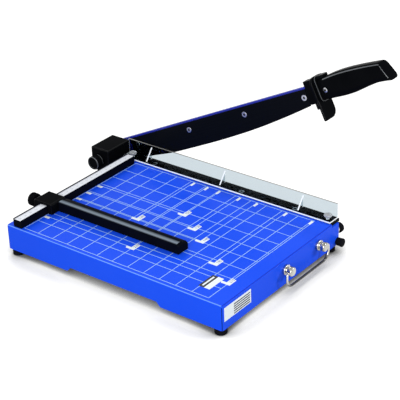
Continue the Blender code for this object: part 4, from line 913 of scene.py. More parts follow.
# Tension cap
# A knurled cap on the left end of the pivot bolt presses a stack of disc springs against the
# housing, and so sets how stiffly the arm moves. Its rim and groove carry a painted highlight.
CAP_FLUTES = 36
CAP_FLUTE_DEPTH = 0.00035
CAP_SIDES = 6 * CAP_FLUTES
CAP_MOUTH_SHARE = 0.92
CAP_ROUND = 0.0009
CAP_GROOVE = 0.0007
CAP_GROOVE_SHARE = 0.68
CAP_DISH = 0.0010
CAP_RIM = 0.0013

arm_hinge = next(joint for joint in frame["joints"] if joint["name"] == "arm_hinge")
hinge = Vector(arm_hinge["pos_m"])
cap_low, cap_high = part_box("pivot_cap")
cap_radius = (cap_high.z - cap_low.z) / 2
cap_end = cap_low.x
cap_mouth = cap_high.x
groove = cap_end + (cap_mouth - cap_end) * CAP_GROOVE_SHARE
cap_profile = [(0, cap_end + CAP_DISH), (cap_radius - CAP_ROUND - CAP_RIM, cap_end + CAP_DISH)]
cap_profile += [(cap_radius - CAP_ROUND - CAP_RIM, cap_end), (cap_radius - CAP_ROUND, cap_end)]
cap_profile += [(cap_radius, cap_end + CAP_ROUND), (cap_radius, groove - CAP_GROOVE)]
cap_profile += [(cap_radius - CAP_GROOVE, groove), (cap_radius - CAP_GROOVE, groove + CAP_GROOVE)]
cap_skirt = cap_radius * CAP_MOUTH_SHARE
cap_profile += [(cap_skirt, groove + 2 * CAP_GROOVE), (cap_skirt, cap_mouth), (0, cap_mouth)]
cap = turned("X", (hinge.y, hinge.z), cap_profile, CAP_SIDES)
fluted(cap, (hinge.y, hinge.z), "X", cap_radius, CAP_FLUTES, CAP_FLUTE_DEPTH)
# Faces on the rim and in the groove take the lighter painted highlight finish.
for face in cap.faces:
    middle = face.calc_center_median().x
    on_rim = cap_end < middle < cap_end + CAP_ROUND
    in_groove = abs(middle - groove) < CAP_GROOVE
    face.material_index = 1 if on_rim or in_groove else 0
tension_knob = fitted("tension_knob", cap, moulded_black, "tension_cap", ("pivot_cap",))
tension_knob.data.materials.append(painted_highlight_lines)
softened(tension_knob)
coat_node("disc_springs", zinc)

# Pivot bolt
# The shoulder bolt has a low round head with a six-sided socket on the arm's outer face, over a
# plain spacer between arm and housing.
BOLT_HEAD_RADIUS = 0.009
BOLT_HEAD_HEIGHT = 0.004
BOLT_HEAD_ROUND = 0.0015
BOLT_HEAD_STEPS = 4
BOLT_RADIUS = 0.006
BOLT_STUD_RADIUS = 0.004
SOCKET_RADIUS = 0.0034
SOCKET_DEPTH = 0.0026
BOLT_SIDES = 60

bolt_low, bolt_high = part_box("pivot_shaft")
bolt_crown = bolt_high.x
bolt_seat = bolt_crown - BOLT_HEAD_HEIGHT
bolt_shoulder = bolt_crown - BOLT_HEAD_ROUND
bolt_profile = [(0, bolt_low.x), (BOLT_STUD_RADIUS, bolt_low.x), (BOLT_STUD_RADIUS, housing_low.x)]
bolt_profile += [(BOLT_RADIUS, housing_low.x), (BOLT_RADIUS, bolt_seat), (BOLT_HEAD_RADIUS, bolt_seat)]
bolt_profile.append((BOLT_HEAD_RADIUS, bolt_shoulder))
for step in range(1, BOLT_HEAD_STEPS + 1):
    lean = pi / 2 * step / BOLT_HEAD_STEPS
    bolt_profile.append((
        BOLT_HEAD_RADIUS - BOLT_HEAD_ROUND * (1 - cos(lean)),
        bolt_shoulder + BOLT_HEAD_ROUND * sin(lean),
    ))
bolt_profile.append((0, bolt_crown))
bolt = turned("X", (hinge.y, hinge.z), bolt_profile, BOLT_SIDES)
bolt_socket = hexagon("X", (hinge.y, hinge.z), bolt_crown, -1, SOCKET_RADIUS, SOCKET_DEPTH)
fixed("pivot_bolt", worked(bolt, [bolt_socket]), "arm", "pivot_shaft")
coat_node("pivot_washer", zinc)

# Arm bar
# The lever is a flat steel bar in the table's blue, rounded at its heel. It narrows to a tang
# inside the grip.
ARM_RAISED = radians(26.4)
ARM_GAP = 0.0003
UPPER_KNIFE_THICKNESS = 0.0027
ARM_THICKNESS = 0.005
ARM_TOP = 0.010
ARM_BELOW = 0.013
ARM_REACH = 0.366
ARM_HEEL = 0.014
ARM_HEEL_ROUND = 0.0105
TANG_LENGTH = 0.092
TANG_HALF = 0.006
ARM_EASE = 0.0006
ARM_BLUE = (0.012, 0.022, 0.34)
ARM_BLUE_LIGHT = (0.020, 0.034, 0.46)
ARM_GLOSS = 0.35
HEEL_STEPS = 10
KNIFE_HEEL = 0.015
KNIFE_END = 0.348
KNIFE_SCREWS = 4
KNIFE_SCREW_FIRST = 0.012
KNIFE_SCREW_LAST = 0.006
KNIFE_SCREW_DROP = 0.003
HOLE_EASE = 0.0001

knife_left = cut_x + ARM_GAP
arm_left = knife_left + UPPER_KNIFE_THICKNESS + ARM_GAP
arm_right = arm_left + ARM_THICKNESS
raised = Matrix.Translation((0, hinge.y, hinge.z)) @ Matrix.Rotation(-ARM_RAISED, 4, "X")


def knife_hole(centre):
    """The countersunk hole that one knife screw needs through knife and lever."""
    head = SINK_RADIUS + HOLE_EASE
    shank = SINK_SHANK_RADIUS + HOLE_EASE
    neck = knife_left + SINK_DEPTH + HOLE_EASE
    profile = ((0, knife_left - SINK_DEPTH), (head, knife_left - SINK_DEPTH))
    profile += ((head, knife_left + HEAD_EASE), (shank, neck), (shank, arm_right + SINK_DEPTH))
    return turned("X", centre, (*profile, (0, arm_right + SINK_DEPTH)), SCREW_SIDES)


def on_arm(mesh):
    """Lift a piece that was laid out level from the pivot, into the raised arm's place."""
    bmesh.ops.transform(mesh, matrix=raised, verts=mesh.verts)
    return mesh


arm_blue = grained("arm_blue", ARM_BLUE, ARM_BLUE_LIGHT, PAINT, gloss=ARM_GLOSS)
heel = []
for middle, start in (((ARM_HEEL - ARM_HEEL_ROUND, ARM_HEEL_ROUND - ARM_BELOW), -pi / 2),
                      ((ARM_HEEL - ARM_HEEL_ROUND, ARM_TOP - ARM_HEEL_ROUND), 0)):
    for step in range(HEEL_STEPS + 1):
        angle = start + pi / 2 * step / HEEL_STEPS
        heel.append((middle[0] + ARM_HEEL_ROUND * cos(angle), middle[1] + ARM_HEEL_ROUND * sin(angle)))
first_screw = KNIFE_HEEL + KNIFE_SCREW_FIRST
screw_pitch = (KNIFE_END - KNIFE_SCREW_LAST - first_screw) / (KNIFE_SCREWS - 1)
knife_screw_centres = [
    (-first_screw - screw_pitch * count, -KNIFE_SCREW_DROP) for count in range(KNIFE_SCREWS)
]
tang_tip = -ARM_REACH - TANG_LENGTH
arm_outline = [*heel, (-ARM_REACH, ARM_TOP), (-ARM_REACH, TANG_HALF), (tang_tip, TANG_HALF)]
arm_outline += [(tang_tip, -TANG_HALF), (-ARM_REACH, -TANG_HALF), (-ARM_REACH, -ARM_BELOW)]
lever = pushed("X", arm_outline, arm_left, arm_right)
lever = on_arm(worked(lever, [knife_hole(centre) for centre in knife_screw_centres]))
eased(fitted("lever_bar", lever, arm_blue, "arm", ("arm_bar",)), ARM_EASE)

# Upper knife
# A curved blade of blackened steel is screwed to the lever's inner side. Its outer side is ground
# to the edge, and the ground land is bright.
KNIFE_TOP = 0.0075
KNIFE_DEPTH = 0.0282
KNIFE_LAND = 0.0030
KNIFE_EDGE_SHARES = (
    (0.00, 0.70), (0.04, 0.80), (0.11, 0.88), (0.215, 0.98), (0.34, 1.00), (0.46, 1.00),
    (0.55, 0.98), (0.65, 0.937), (0.74, 0.870), (0.82, 0.785), (0.90, 0.686), (1.00, 0.54),
)
KNIFE_STEPS = 6
LAND_FACING_RIGHT = 0.5
LAND_FACING_DOWN = -0.3
BLADE_CORNER_ANGLE = 12
GROUND_GREY = (0.40, 0.42, 0.46)
GROUND_GREY_LIGHT = (0.55, 0.57, 0.60)


def smooth_run(points, steps):
    """More points on a smooth curve through the given ones, of any number of values each."""
    run = []
    for index in range(len(points) - 1):
        before = points[max(index - 1, 0)]
        here, after = points[index], points[index + 1]
        beyond = points[min(index + 2, len(points) - 1)]
        for step in range(steps):
            t = step / steps
            weights = (
                (-t**3 + 2 * t**2 - t) / 2, (3 * t**3 - 5 * t**2 + 2) / 2,
                (-3 * t**3 + 4 * t**2 + t) / 2, (t**3 - t**2) / 2,
            )
            run.append(tuple(
                sum(weight * value for weight, value in zip(weights, values))
                for values in zip(before, here, after, beyond)
            ))
    run.append(tuple(points[-1]))
    return run


ground_steel = grained(
    "ground_steel", GROUND_GREY, GROUND_GREY_LIGHT, STEEL, metal=1, stretch=ALONG_Y, tilt=-ARM_RAISED,
)
blade_steel = grained(
    "blade_steel", STEEL_BLACK, STEEL_SHEEN, STEEL, gloss=STEEL_GLOSS, stretch=ALONG_Y, tilt=-ARM_RAISED,
)
blade = bmesh.new()
knife_right = knife_left + UPPER_KNIFE_THICKNESS
loops = {"edge": [], "land": [], "left_top": [], "right_top": []}
for along_share, depth_share in smooth_run(KNIFE_EDGE_SHARES, KNIFE_STEPS):
    y = -KNIFE_HEEL - along_share * (KNIFE_END - KNIFE_HEEL)
    z = -depth_share * KNIFE_DEPTH
    loops["edge"].append(blade.verts.new((knife_left, y, z)))
    loops["land"].append(blade.verts.new((knife_right, y, z + KNIFE_LAND)))
    loops["left_top"].append(blade.verts.new((knife_left, y, KNIFE_TOP)))
    loops["right_top"].append(blade.verts.new((knife_right, y, KNIFE_TOP)))
order = [loops["edge"], loops["land"], loops["right_top"], loops["left_top"]]
for index in range(len(loops["edge"]) - 1):
    for place, loop in enumerate(order):
        neighbour = order[(place + 1) % len(order)]
        blade.faces.new((loop[index], neighbour[index], neighbour[index + 1], loop[index + 1]))
for end in (0, -1):
    blade.faces.new([loop[end] for loop in order])
bmesh.ops.recalc_face_normals(blade, faces=blade.faces)
blade = worked(blade, [knife_hole(centre) for centre in knife_screw_centres])
for face in blade.faces:
    on_land = face.normal.x > LAND_FACING_RIGHT and face.normal.z < LAND_FACING_DOWN
    face.material_index = 1 if on_land else 0
upper_knife = fitted("curved_blade", on_arm(blade), blade_steel, "arm", ("upper_knife",))
upper_knife.data.materials.append(ground_steel)
softened(upper_knife, BLADE_CORNER_ANGLE)
for number, centre in enumerate(knife_screw_centres, 1):
    screw = hexagon_screw("X", centre, knife_left, 1, arm_right - knife_left)
    fixed(f"blade_screw_{number}", on_arm(screw), "arm", f"upper_knife_screw_{number}")

# Collar
# A moulded black collar closes the end of the lever in front of the grip. Its foot lands on the
# rubber ring of the stop.
COLLAR_LENGTH = 0.0177
COLLAR_INSIDE = 0.0005
COLLAR_OUTSIDE = 0.012
COLLAR_TOP = 0.017
COLLAR_BELOW = 0.0226
COLLAR_FOOT_LENGTH = 0.0112
COLLAR_WAIST = 0.0145
COLLAR_EASE = 0.0010

collar_back = -ARM_REACH
collar_front = collar_back + COLLAR_LENGTH
collar_step = collar_back + COLLAR_FOOT_LENGTH
collar_outline = [
    (collar_back, -COLLAR_BELOW), (collar_step, -COLLAR_BELOW), (collar_step, -COLLAR_WAIST),
    (collar_front, -COLLAR_WAIST), (collar_front, COLLAR_TOP), (collar_back, COLLAR_TOP),
]
collar = on_arm(pushed("X", collar_outline, cut_x + COLLAR_INSIDE, cut_x + COLLAR_OUTSIDE))
arm_collar = fitted("collar", collar, moulded_black, "arm", ("arm_collar",))
eased(arm_collar, COLLAR_EASE, edge_finish=moulded_edge)

# Hand guard
# One moulding in front of the hand: a hook plate that drops past the table's front, a shallow
# socket with a bead, in a lighter painted highlight, that takes the end of the grip, and a
# tongue over the grip.
GUARD_START = 0.367
HOOK_THICKNESS = 0.003
HOOK_LEFT = 0.010
HOOK_RIGHT = 0.0175
HOOK_BELOW = 0.0374
HOOK_ROUND = 0.011
HOOK_CORNER = 0.002
GUARD_TOP = 0.020
GUARD_ROUND = 0.0085
SOCKET_LENGTH = 0.0035
SOCKET_WIDTH = 0.021
SOCKET_BELOW = 0.0135
SOCKET_ROUND = 0.006
SOCKET_BEAD = 0.0006
SOCKET_BEAD_HEIGHT = 0.0002
TONGUE_REACH = 0.0115
TONGUE_WIDTH = 0.013
TONGUE_LOW = 0.0158
TONGUE_HIGH = 0.0196
TONGUE_ROUND = 0.005
GUARD_EASE = 0.0008
GRIP_MIDDLE = 0.0050
ROUND_STEPS = 8


def rounded(corners):
    """An outline whose corners, each with its own radius, become arcs."""
    outline = []
    for index, (first, second, radius) in enumerate(corners):
        here = Vector((first, second))
        back = (Vector(corners[index - 1][:2]) - here).normalized()
        ahead = (Vector(corners[(index + 1) % len(corners)][:2]) - here).normalized()
        half = back.angle(ahead) / 2
        centre = here + (back + ahead).normalized() * radius / sin(half)
        start = here + back * radius * cos(half) / sin(half) - centre
        turn = start.angle_signed(here + ahead * radius * cos(half) / sin(half) - centre)
        for step in range(ROUND_STEPS + 1):
            outline.append(tuple(centre + Matrix.Rotation(-turn * step / ROUND_STEPS, 2) @ start))
    return outline


def gathered(meshes):
    """Several closed shapes as the parts of one moulding."""
    whole = bmesh.new()
    for mesh in meshes:
        data = bpy.data.meshes.new("part")
        mesh.to_mesh(data)
        mesh.free()
        whole.from_mesh(data)
        bpy.data.meshes.remove(data)
    return whole


hook_left, hook_right = cut_x - HOOK_LEFT, cut_x + HOOK_RIGHT
grip_x = cut_x + GRIP_MIDDLE
plate_outline = rounded((
    (hook_left, -HOOK_BELOW, HOOK_CORNER), (hook_right, -HOOK_BELOW, HOOK_ROUND),
    (hook_right, GUARD_TOP, GUARD_ROUND), (hook_left, GUARD_TOP, GUARD_ROUND),
))
socket_left, socket_right = grip_x - SOCKET_WIDTH / 2, grip_x + SOCKET_WIDTH / 2
socket_outline = rounded((
    (socket_left, -SOCKET_BELOW, SOCKET_ROUND), (socket_right, -SOCKET_BELOW, SOCKET_ROUND),
    (socket_right, GUARD_TOP, SOCKET_ROUND), (socket_left, GUARD_TOP, SOCKET_ROUND),
))
plate_back = -GUARD_START - HOOK_THICKNESS
socket_back = plate_back - SOCKET_LENGTH
tongue_end = socket_back - TONGUE_REACH
tongue_left, tongue_right = grip_x - TONGUE_WIDTH / 2, grip_x + TONGUE_WIDTH / 2
tongue_outline = rounded((
    (tongue_left, tongue_end, TONGUE_ROUND), (tongue_right, tongue_end, TONGUE_ROUND),
    (tongue_right, plate_back, HOOK_CORNER), (tongue_left, plate_back, HOOK_CORNER),
))
bead_outline = rounded((
    (socket_left - SOCKET_BEAD_HEIGHT, -SOCKET_BELOW - SOCKET_BEAD_HEIGHT, SOCKET_ROUND),
    (socket_right, -SOCKET_BELOW - SOCKET_BEAD_HEIGHT, SOCKET_ROUND),
    (socket_right, GUARD_TOP, SOCKET_ROUND), (socket_left - SOCKET_BEAD_HEIGHT, GUARD_TOP, SOCKET_ROUND),
))
# The thin bead round the socket's rim carries a painted highlight.
bead = on_arm(pushed("Y", bead_outline, socket_back + SOCKET_BEAD, socket_back + 2 * SOCKET_BEAD))
fitted("socket_painted_highlight_bead", bead, painted_highlight_lines, "arm")
guard_parts = [
    pushed("Y", plate_outline, plate_back, -GUARD_START),
    pushed("Y", socket_outline, socket_back, plate_back + HOOK_THICKNESS / 2),
    pushed("Z", tongue_outline, TONGUE_LOW, TONGUE_HIGH),
]
guard = on_arm(gathered(guard_parts))
cross_guard = fitted("cross_guard", guard, moulded_black, "arm", ("hand_guard",))
eased(cross_guard, GUARD_EASE, edge_finish=moulded_edge)

# Grip
# The grip is moulded in one piece over the tang, with a full palm swell, a thinner rear and a
# slanted flat butt, with a painted highlight along its ridge and round the butt. A screw sunk in
# its left side pins it.
GRIP_GAP = 0.0003
GRIP_LENGTH = 0.107
GRIP_TOP = 0.0182
GRIP_BELOW = 0.0138
GRIP_HALF_WIDTH = 0.0105
GRIP_STATION_SHARES = (
    (0.000, 0.000, 0.83, 0.88, 0.76), (0.060, 0.060, 0.86, 0.92, 0.86), (0.190, 0.190, 0.95, 0.97, 0.94),
    (0.320, 0.320, 1.00, 1.00, 0.98), (0.450, 0.450, 1.00, 0.96, 1.00), (0.560, 0.545, 0.97, 0.87, 1.00),
    (0.690, 0.680, 0.92, 0.73, 1.00), (0.800, 0.800, 0.86, 0.65, 1.00), (0.870, 0.930, 0.82, 0.72, 1.00),
    (0.898, 0.983, 0.785, 0.77, 0.98), (0.908, 0.997, 0.72, 0.71, 0.88),
)
GRIP_STEPS = 5
GRIP_SIDES = 64
GRIP_CORNER_SHARE = 0.46
GRIP_RIDGE_HIGHLIGHT_SHARES = (0.36, 0.39)
GRIP_RIDGE_HIGHLIGHT_ALONG_SHARES = (0.10, 0.90)
GRIP_BUTT_HIGHLIGHT_SHARES = (0.40, 0.56)
GRIP_SCREW_ALONG = 0.0072
GRIP_SCREW_RADIUS = 0.0020
GRIP_SCREW_HEAD = 0.0037
GRIP_SCREW_SUNK = 0.0020
GRIP_SCREW_REACH = 0.0040
GRIP_SCREW_DOME = 0.0008
GRIP_SCREW_CROWN_SHARE = 0.6
GRIP_CORNER_ANGLE = 40

grip_start = GUARD_START + HOOK_THICKNESS + SOCKET_LENGTH + GRIP_GAP
grip_mesh = bmesh.new()
grip_rings = []
for station in smooth_run(GRIP_STATION_SHARES, GRIP_STEPS):
    top_along, bottom_along, top_share, bottom_share, width_share = station
    top = top_share * GRIP_TOP
    bottom = -bottom_share * GRIP_BELOW
    ring = []
    for index in range(GRIP_SIDES):
        angle = tau * index / GRIP_SIDES
        across = abs(cos(angle)) ** GRIP_CORNER_SHARE * (1 if cos(angle) > 0 else -1)
        upward = abs(sin(angle)) ** GRIP_CORNER_SHARE * (1 if sin(angle) > 0 else -1)
        z = (top + bottom) / 2 + upward * (top - bottom) / 2
        along = top_along + (bottom_along - top_along) * (1 - upward) / 2
        x = grip_x + across * width_share * GRIP_HALF_WIDTH
        ring.append(grip_mesh.verts.new((x, -grip_start - along * GRIP_LENGTH, z)))
    grip_rings.append(ring)
# Faces along the upper left ridge and round the butt take the lighter painted highlight finish.
ridge_first, ridge_last = (share * len(grip_rings) for share in GRIP_RIDGE_HIGHLIGHT_ALONG_SHARES)
butt_ring = len(grip_rings) - GRIP_STEPS
for count, (near_ring, far_ring) in enumerate(zip(grip_rings, grip_rings[1:])):
    for index in range(GRIP_SIDES):
        after = (index + 1) % GRIP_SIDES
        side = grip_mesh.faces.new((near_ring[index], near_ring[after], far_ring[after], far_ring[index]))
        round_share = (index + 0.5) / GRIP_SIDES
        at_ridge = GRIP_RIDGE_HIGHLIGHT_SHARES[0] < round_share < GRIP_RIDGE_HIGHLIGHT_SHARES[1]
        at_butt = GRIP_BUTT_HIGHLIGHT_SHARES[0] < round_share < GRIP_BUTT_HIGHLIGHT_SHARES[1]
        ridge = at_ridge and ridge_first < count < ridge_last
        butt = at_butt and count in (butt_ring, butt_ring + 1)
        side.material_index = 1 if ridge or butt else 0
grip_mesh.faces.new(grip_rings[0])
grip_mesh.faces.new(grip_rings[-1])
bmesh.ops.recalc_face_normals(grip_mesh, faces=grip_mesh.faces)
pin_centre = (-grip_start - GRIP_SCREW_ALONG, 0)
pin_face = grip_x - GRIP_HALF_WIDTH + GRIP_SCREW_SUNK
pin_hole_radius = GRIP_SCREW_HEAD + GRIP_GAP
pin_neck = pin_face + GRIP_SCREW_SUNK
pin_mouth = pin_face - 2 * GRIP_SCREW_SUNK
pin_hole = rod("X", pin_centre, pin_hole_radius, pin_mouth, pin_neck + GRIP_GAP, SCREW_SIDES)
handle = on_arm(worked(grip_mesh, [pin_hole]))
hand_grip = fitted("hand_grip", handle, moulded_black, "arm", ("grip",))
hand_grip.data.materials.append(painted_highlight_lines)
softened(hand_grip, GRIP_CORNER_ANGLE)
pin_profile = [(0, pin_face), (GRIP_SCREW_HEAD * GRIP_SCREW_CROWN_SHARE, pin_face + GRIP_SCREW_DOME / 4)]
pin_profile += [(GRIP_SCREW_HEAD, pin_face + GRIP_SCREW_DOME), (GRIP_SCREW_HEAD, pin_neck)]
pin_tip = arm_right + GRIP_SCREW_REACH
pin_profile += [(GRIP_SCREW_RADIUS, pin_neck), (GRIP_SCREW_RADIUS, pin_tip), (0, pin_tip)]
pin_socket = hexagon("X", pin_centre, pin_face, 1, HEX_RADIUS, HEX_DEPTH)
pin = worked(turned("X", pin_centre, pin_profile, SCREW_SIDES), [pin_socket])
fixed("grip_pin", on_arm(pin), "arm", "grip_screw")

# Clear guard
# A cut and glued angle of clear acrylic keeps fingers from the knife: its flange holds the sheet
# down, its wall stands along the cut, and three gussets stiffen it. Its sawn edges look frosted and
# glow a little as painted light, and the edges along its top are painted grey as shade.
CLEAR_SHEET = 0.002
CLEAR_BACK_STEP = 0.0006
GUSSET_FROM_FENCE = (0.0149, 0.1431, 0.2699)
GUSSET_RUN = 0.0130
GUSSET_RISE = 0.0165
CLEAR_TINT = (0.55, 0.62, 0.66)
CLEAR_ROUGHNESS = 0.01
CLEAR_INDEX = 1.06
CLEAR_EASE = 0.00025
SAWN_PAINTED_GLOW = 0.14
SAWN_SHADE_GREY = (0.24, 0.24, 0.23)
SAWN_SHADE_GREY_LIGHT = (0.34, 0.34, 0.33)
SAWN_WHITE = (0.72, 0.78, 0.82)
SAWN_WHITE_LIGHT = (0.90, 0.94, 0.96)
SAWN = {"roughness": (0.45, 0.60), "clouds": 160, "grain": 1300, "height": 0.00005}
CLEAR_BORE = 0.0023
CLEAR_SEGMENTS = 2
SAWN_WIDTH_SHARE = 1.2
SAWN_FACING = 0.9
SMEAR_SCALE = 40


def clear_plastic(name, tint, roughness, clear_share):
    """Clear or frosted plastic that the light passes through, with a faint smeared gloss."""
    made = bpy.data.materials.new(name)
    made.use_nodes = True
    tree = made.node_tree
    place = added(tree, "TexCoord")
    smear = added(tree, "TexNoise", {"Scale": SMEAR_SCALE, "Vector": place.outputs["Object"]})
    shine = added(tree, "MapRange", {"To Min": 0, "To Max": roughness * 2, "Value": smear.outputs["Fac"]})
    connected(tree, tree.nodes["Principled BSDF"], {
        "Base Color": (*tint, 1), "Transmission Weight": clear_share, "IOR": CLEAR_INDEX,
        "Roughness": shine.outputs["Result"],
    })
    return made


acrylic = clear_plastic("acrylic", CLEAR_TINT, CLEAR_ROUGHNESS, 1)
# The frosted sawn edges also glow, which is painted light.
sawn_edge_painted_glow = grained("sawn_edge_painted_glow", SAWN_WHITE, SAWN_WHITE_LIGHT, SAWN)
connected(sawn_edge_painted_glow.node_tree, sawn_edge_painted_glow.node_tree.nodes["Principled BSDF"], {
    "Emission Color": (*SAWN_WHITE_LIGHT, 1), "Emission Strength": SAWN_PAINTED_GLOW,
})
clear_low, clear_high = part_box("safety_guard")
flange_top = clear_low.z + CLEAR_SHEET
wall_inside = clear_high.x - CLEAR_SHEET
angle_outline = [
    (clear_low.x, clear_low.z), (clear_high.x, clear_low.z), (clear_high.x, clear_high.z),
    (wall_inside, clear_high.z), (wall_inside, flange_top), (clear_low.x, flange_top),
]
angle_mesh = pushed("Y", angle_outline, clear_low.y, clear_high.y)
gussets = []
for from_fence in GUSSET_FROM_FENCE:
    y = fence_y - from_fence
    web = [
        (wall_inside + CLEAR_SHEET / 2, flange_top - CLEAR_SHEET / 2),
        (wall_inside + CLEAR_SHEET / 2, flange_top + GUSSET_RISE), (wall_inside, flange_top + GUSSET_RISE),
        (wall_inside - GUSSET_RUN, flange_top), (wall_inside - GUSSET_RUN, flange_top - CLEAR_SHEET / 2),
    ]
    gussets.append(pushed("Y", web, y - CLEAR_SHEET / 2, y + CLEAR_SHEET / 2))
welded = worked(angle_mesh, gussets, "UNION")
notch = block(
    (clear_low.x - CLEAR_SHEET, housing_low.y - CLEAR_BACK_STEP, clear_low.z - CLEAR_SHEET),
    (housing_high.x + CLEAR_BACK_STEP / 2, clear_high.y + CLEAR_SHEET, flange_top + CLEAR_SHEET),
)
bores = []
for side in ("front", "back"):
    centre = seen_along("Z", f"thumb_screw_{side}")
    bore_low = clear_low.z - CLEAR_SHEET
    bores.append(rod("Z", centre, CLEAR_BORE, bore_low, flange_top + CLEAR_SHEET, SCREW_SIDES))
clear_mesh = worked(welded, [notch, *bores])
# Narrow faces along the top take a grey painted shade, and the other sawn faces take the glowing finish.
for face in clear_mesh.faces:
    longest = max(edge.calc_length() for edge in face.edges)
    middle = face.calc_center_median()
    narrow = face.calc_area() < longest * CLEAR_SHEET * SAWN_WIDTH_SHARE
    between_ends = clear_low.y + CLEAR_EASE < middle.y < clear_high.y - CLEAR_EASE
    end = abs(face.normal.y) > SAWN_FACING and not between_ends
    along_top = middle.z > clear_high.z - CLEAR_EASE
    face.material_index = (2 if along_top else 1) if narrow or end else 0
clear_guard = fitted("clear_guard", clear_mesh, acrylic, "base", ("safety_guard",))
clear_guard.data.materials.append(sawn_edge_painted_glow)
clear_guard.data.materials.append(grained("sawn_top_painted_shade", SAWN_SHADE_GREY, SAWN_SHADE_GREY_LIGHT, SAWN))
eased(clear_guard, CLEAR_EASE, CLEAR_SEGMENTS)

# Thumb screws
# Two clear heads are moulded on zinc-plated studs, each a fluted disc on a slim neck. They hold
# the guard down over thin clear rings that leave the paper its gap.
THUMB_FLUTES = 12
THUMB_FLUTE_DEPTH = 0.0010
THUMB_SIDES = 8 * THUMB_FLUTES
THUMB_ROUND = 0.0009
THUMB_NECK_RADIUS = 0.0032
THUMB_NECK_SHARE = 0.22
THUMB_HEIGHT_SHARE = 0.62
THUMB_SHANK_RADIUS = 0.002
STUD_GAP = 0.00003
STUD_CORE_SHARE = 0.45
THUMB_TINT = (0.62, 0.65, 0.68)
THUMB_ROUGHNESS = 0.15
THUMB_CLEAR_SHARE = 0.40

thumb_clear = clear_plastic("thumb_clear", THUMB_TINT, THUMB_ROUGHNESS, THUMB_CLEAR_SHARE)
for side in ("front", "back"):
    node = f"thumb_screw_{side}"
    low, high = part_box(node)
    centre = seen_along("Z", node)
    radius = (high.x - low.x) / 2
    seat = flange_top + GRIP_GAP
    core_top = seat + (high.z - seat) * STUD_CORE_SHARE
    rim = radius - THUMB_ROUND
    under = seat + (high.z - seat) * THUMB_NECK_SHARE
    over = seat + (high.z - seat) * THUMB_HEIGHT_SHARE
    head_profile = [(0, core_top), (THUMB_SHANK_RADIUS, core_top), (THUMB_SHANK_RADIUS, seat)]
    head_profile += [(THUMB_NECK_RADIUS, seat), (THUMB_NECK_RADIUS, under), (rim, under)]
    head_profile += [(radius, under + THUMB_ROUND), (radius, over - THUMB_ROUND), (rim, over), (0, over)]
    head = turned("Z", centre, head_profile, THUMB_SIDES)
    fluted(head, centre, "Z", radius, THUMB_FLUTES, THUMB_FLUTE_DEPTH)
    softened(fitted(f"thumb_head_{side}", head, thumb_clear, f"thumb_{side}", (node,)))
    stud = rod("Z", centre, THUMB_SHANK_RADIUS - STUD_GAP, low.z, core_top, SCREW_SIDES)
    softened(fitted(f"thumb_stud_{side}", stud, zinc, f"thumb_{side}"))
    coat_node(f"guard_spacer_{side}", acrylic)

# Carry handle
# Two turned posts, nickel plated and riveted through the front wall, hold a bail of bent wire
# that swings in a hole in each head.
POST_FLANGE_RADIUS = 0.0070
POST_FLANGE_HEIGHT = 0.0035
POST_NECK_RADIUS = 0.0042
POST_HEAD_RADIUS = 0.0062
POST_LENGTH = 0.0125
POST_HEAD_LENGTH = 0.0070
POST_ROUND = 0.0022
POST_FLANGE_ROUND = 0.0012
POST_STEM_RADIUS = 0.0025
POST_RIVET_RADIUS = 0.0045
POST_GAP = 0.0003
ARC_STEPS = 8
WIRE_RADIUS = 0.0016
BAIL_DROP = 0.0200
BAIL_CORNER = 0.0120
BAIL_BITE = 0.0030
BAIL_SMOOTHNESS = 6
NICKEL_PAINTED_DARK_REFLECTION = (0.10, 0.09, 0.06)
NICKEL_LIGHT = (0.95, 0.94, 0.90)
NICKEL = {"roughness": (0.08, 0.17), "clouds": 260, "grain": 700, "height": 0.000004}
ROUND_Y = (4, 1, 4)
WIRE_DARK_REFLECTION = (0.05, 0.05, 0.055)
WIRE_DARK_REFLECTION_SHARES = (0.00, 0.18, 0.42, 1.00)
WIRE_DARK_REFLECTION_LEVELS = (0.95, 0.95, 0.05, 0.00)


def arc(centre_radius, centre_along, radius, start, end):
    """Points of a rounded rim on a turned profile, between two angles."""
    angles = [start + (end - start) * step / ARC_STEPS for step in range(ARC_STEPS + 1)]
    return [(centre_radius + radius * cos(a), centre_along + radius * sin(a)) for a in angles]


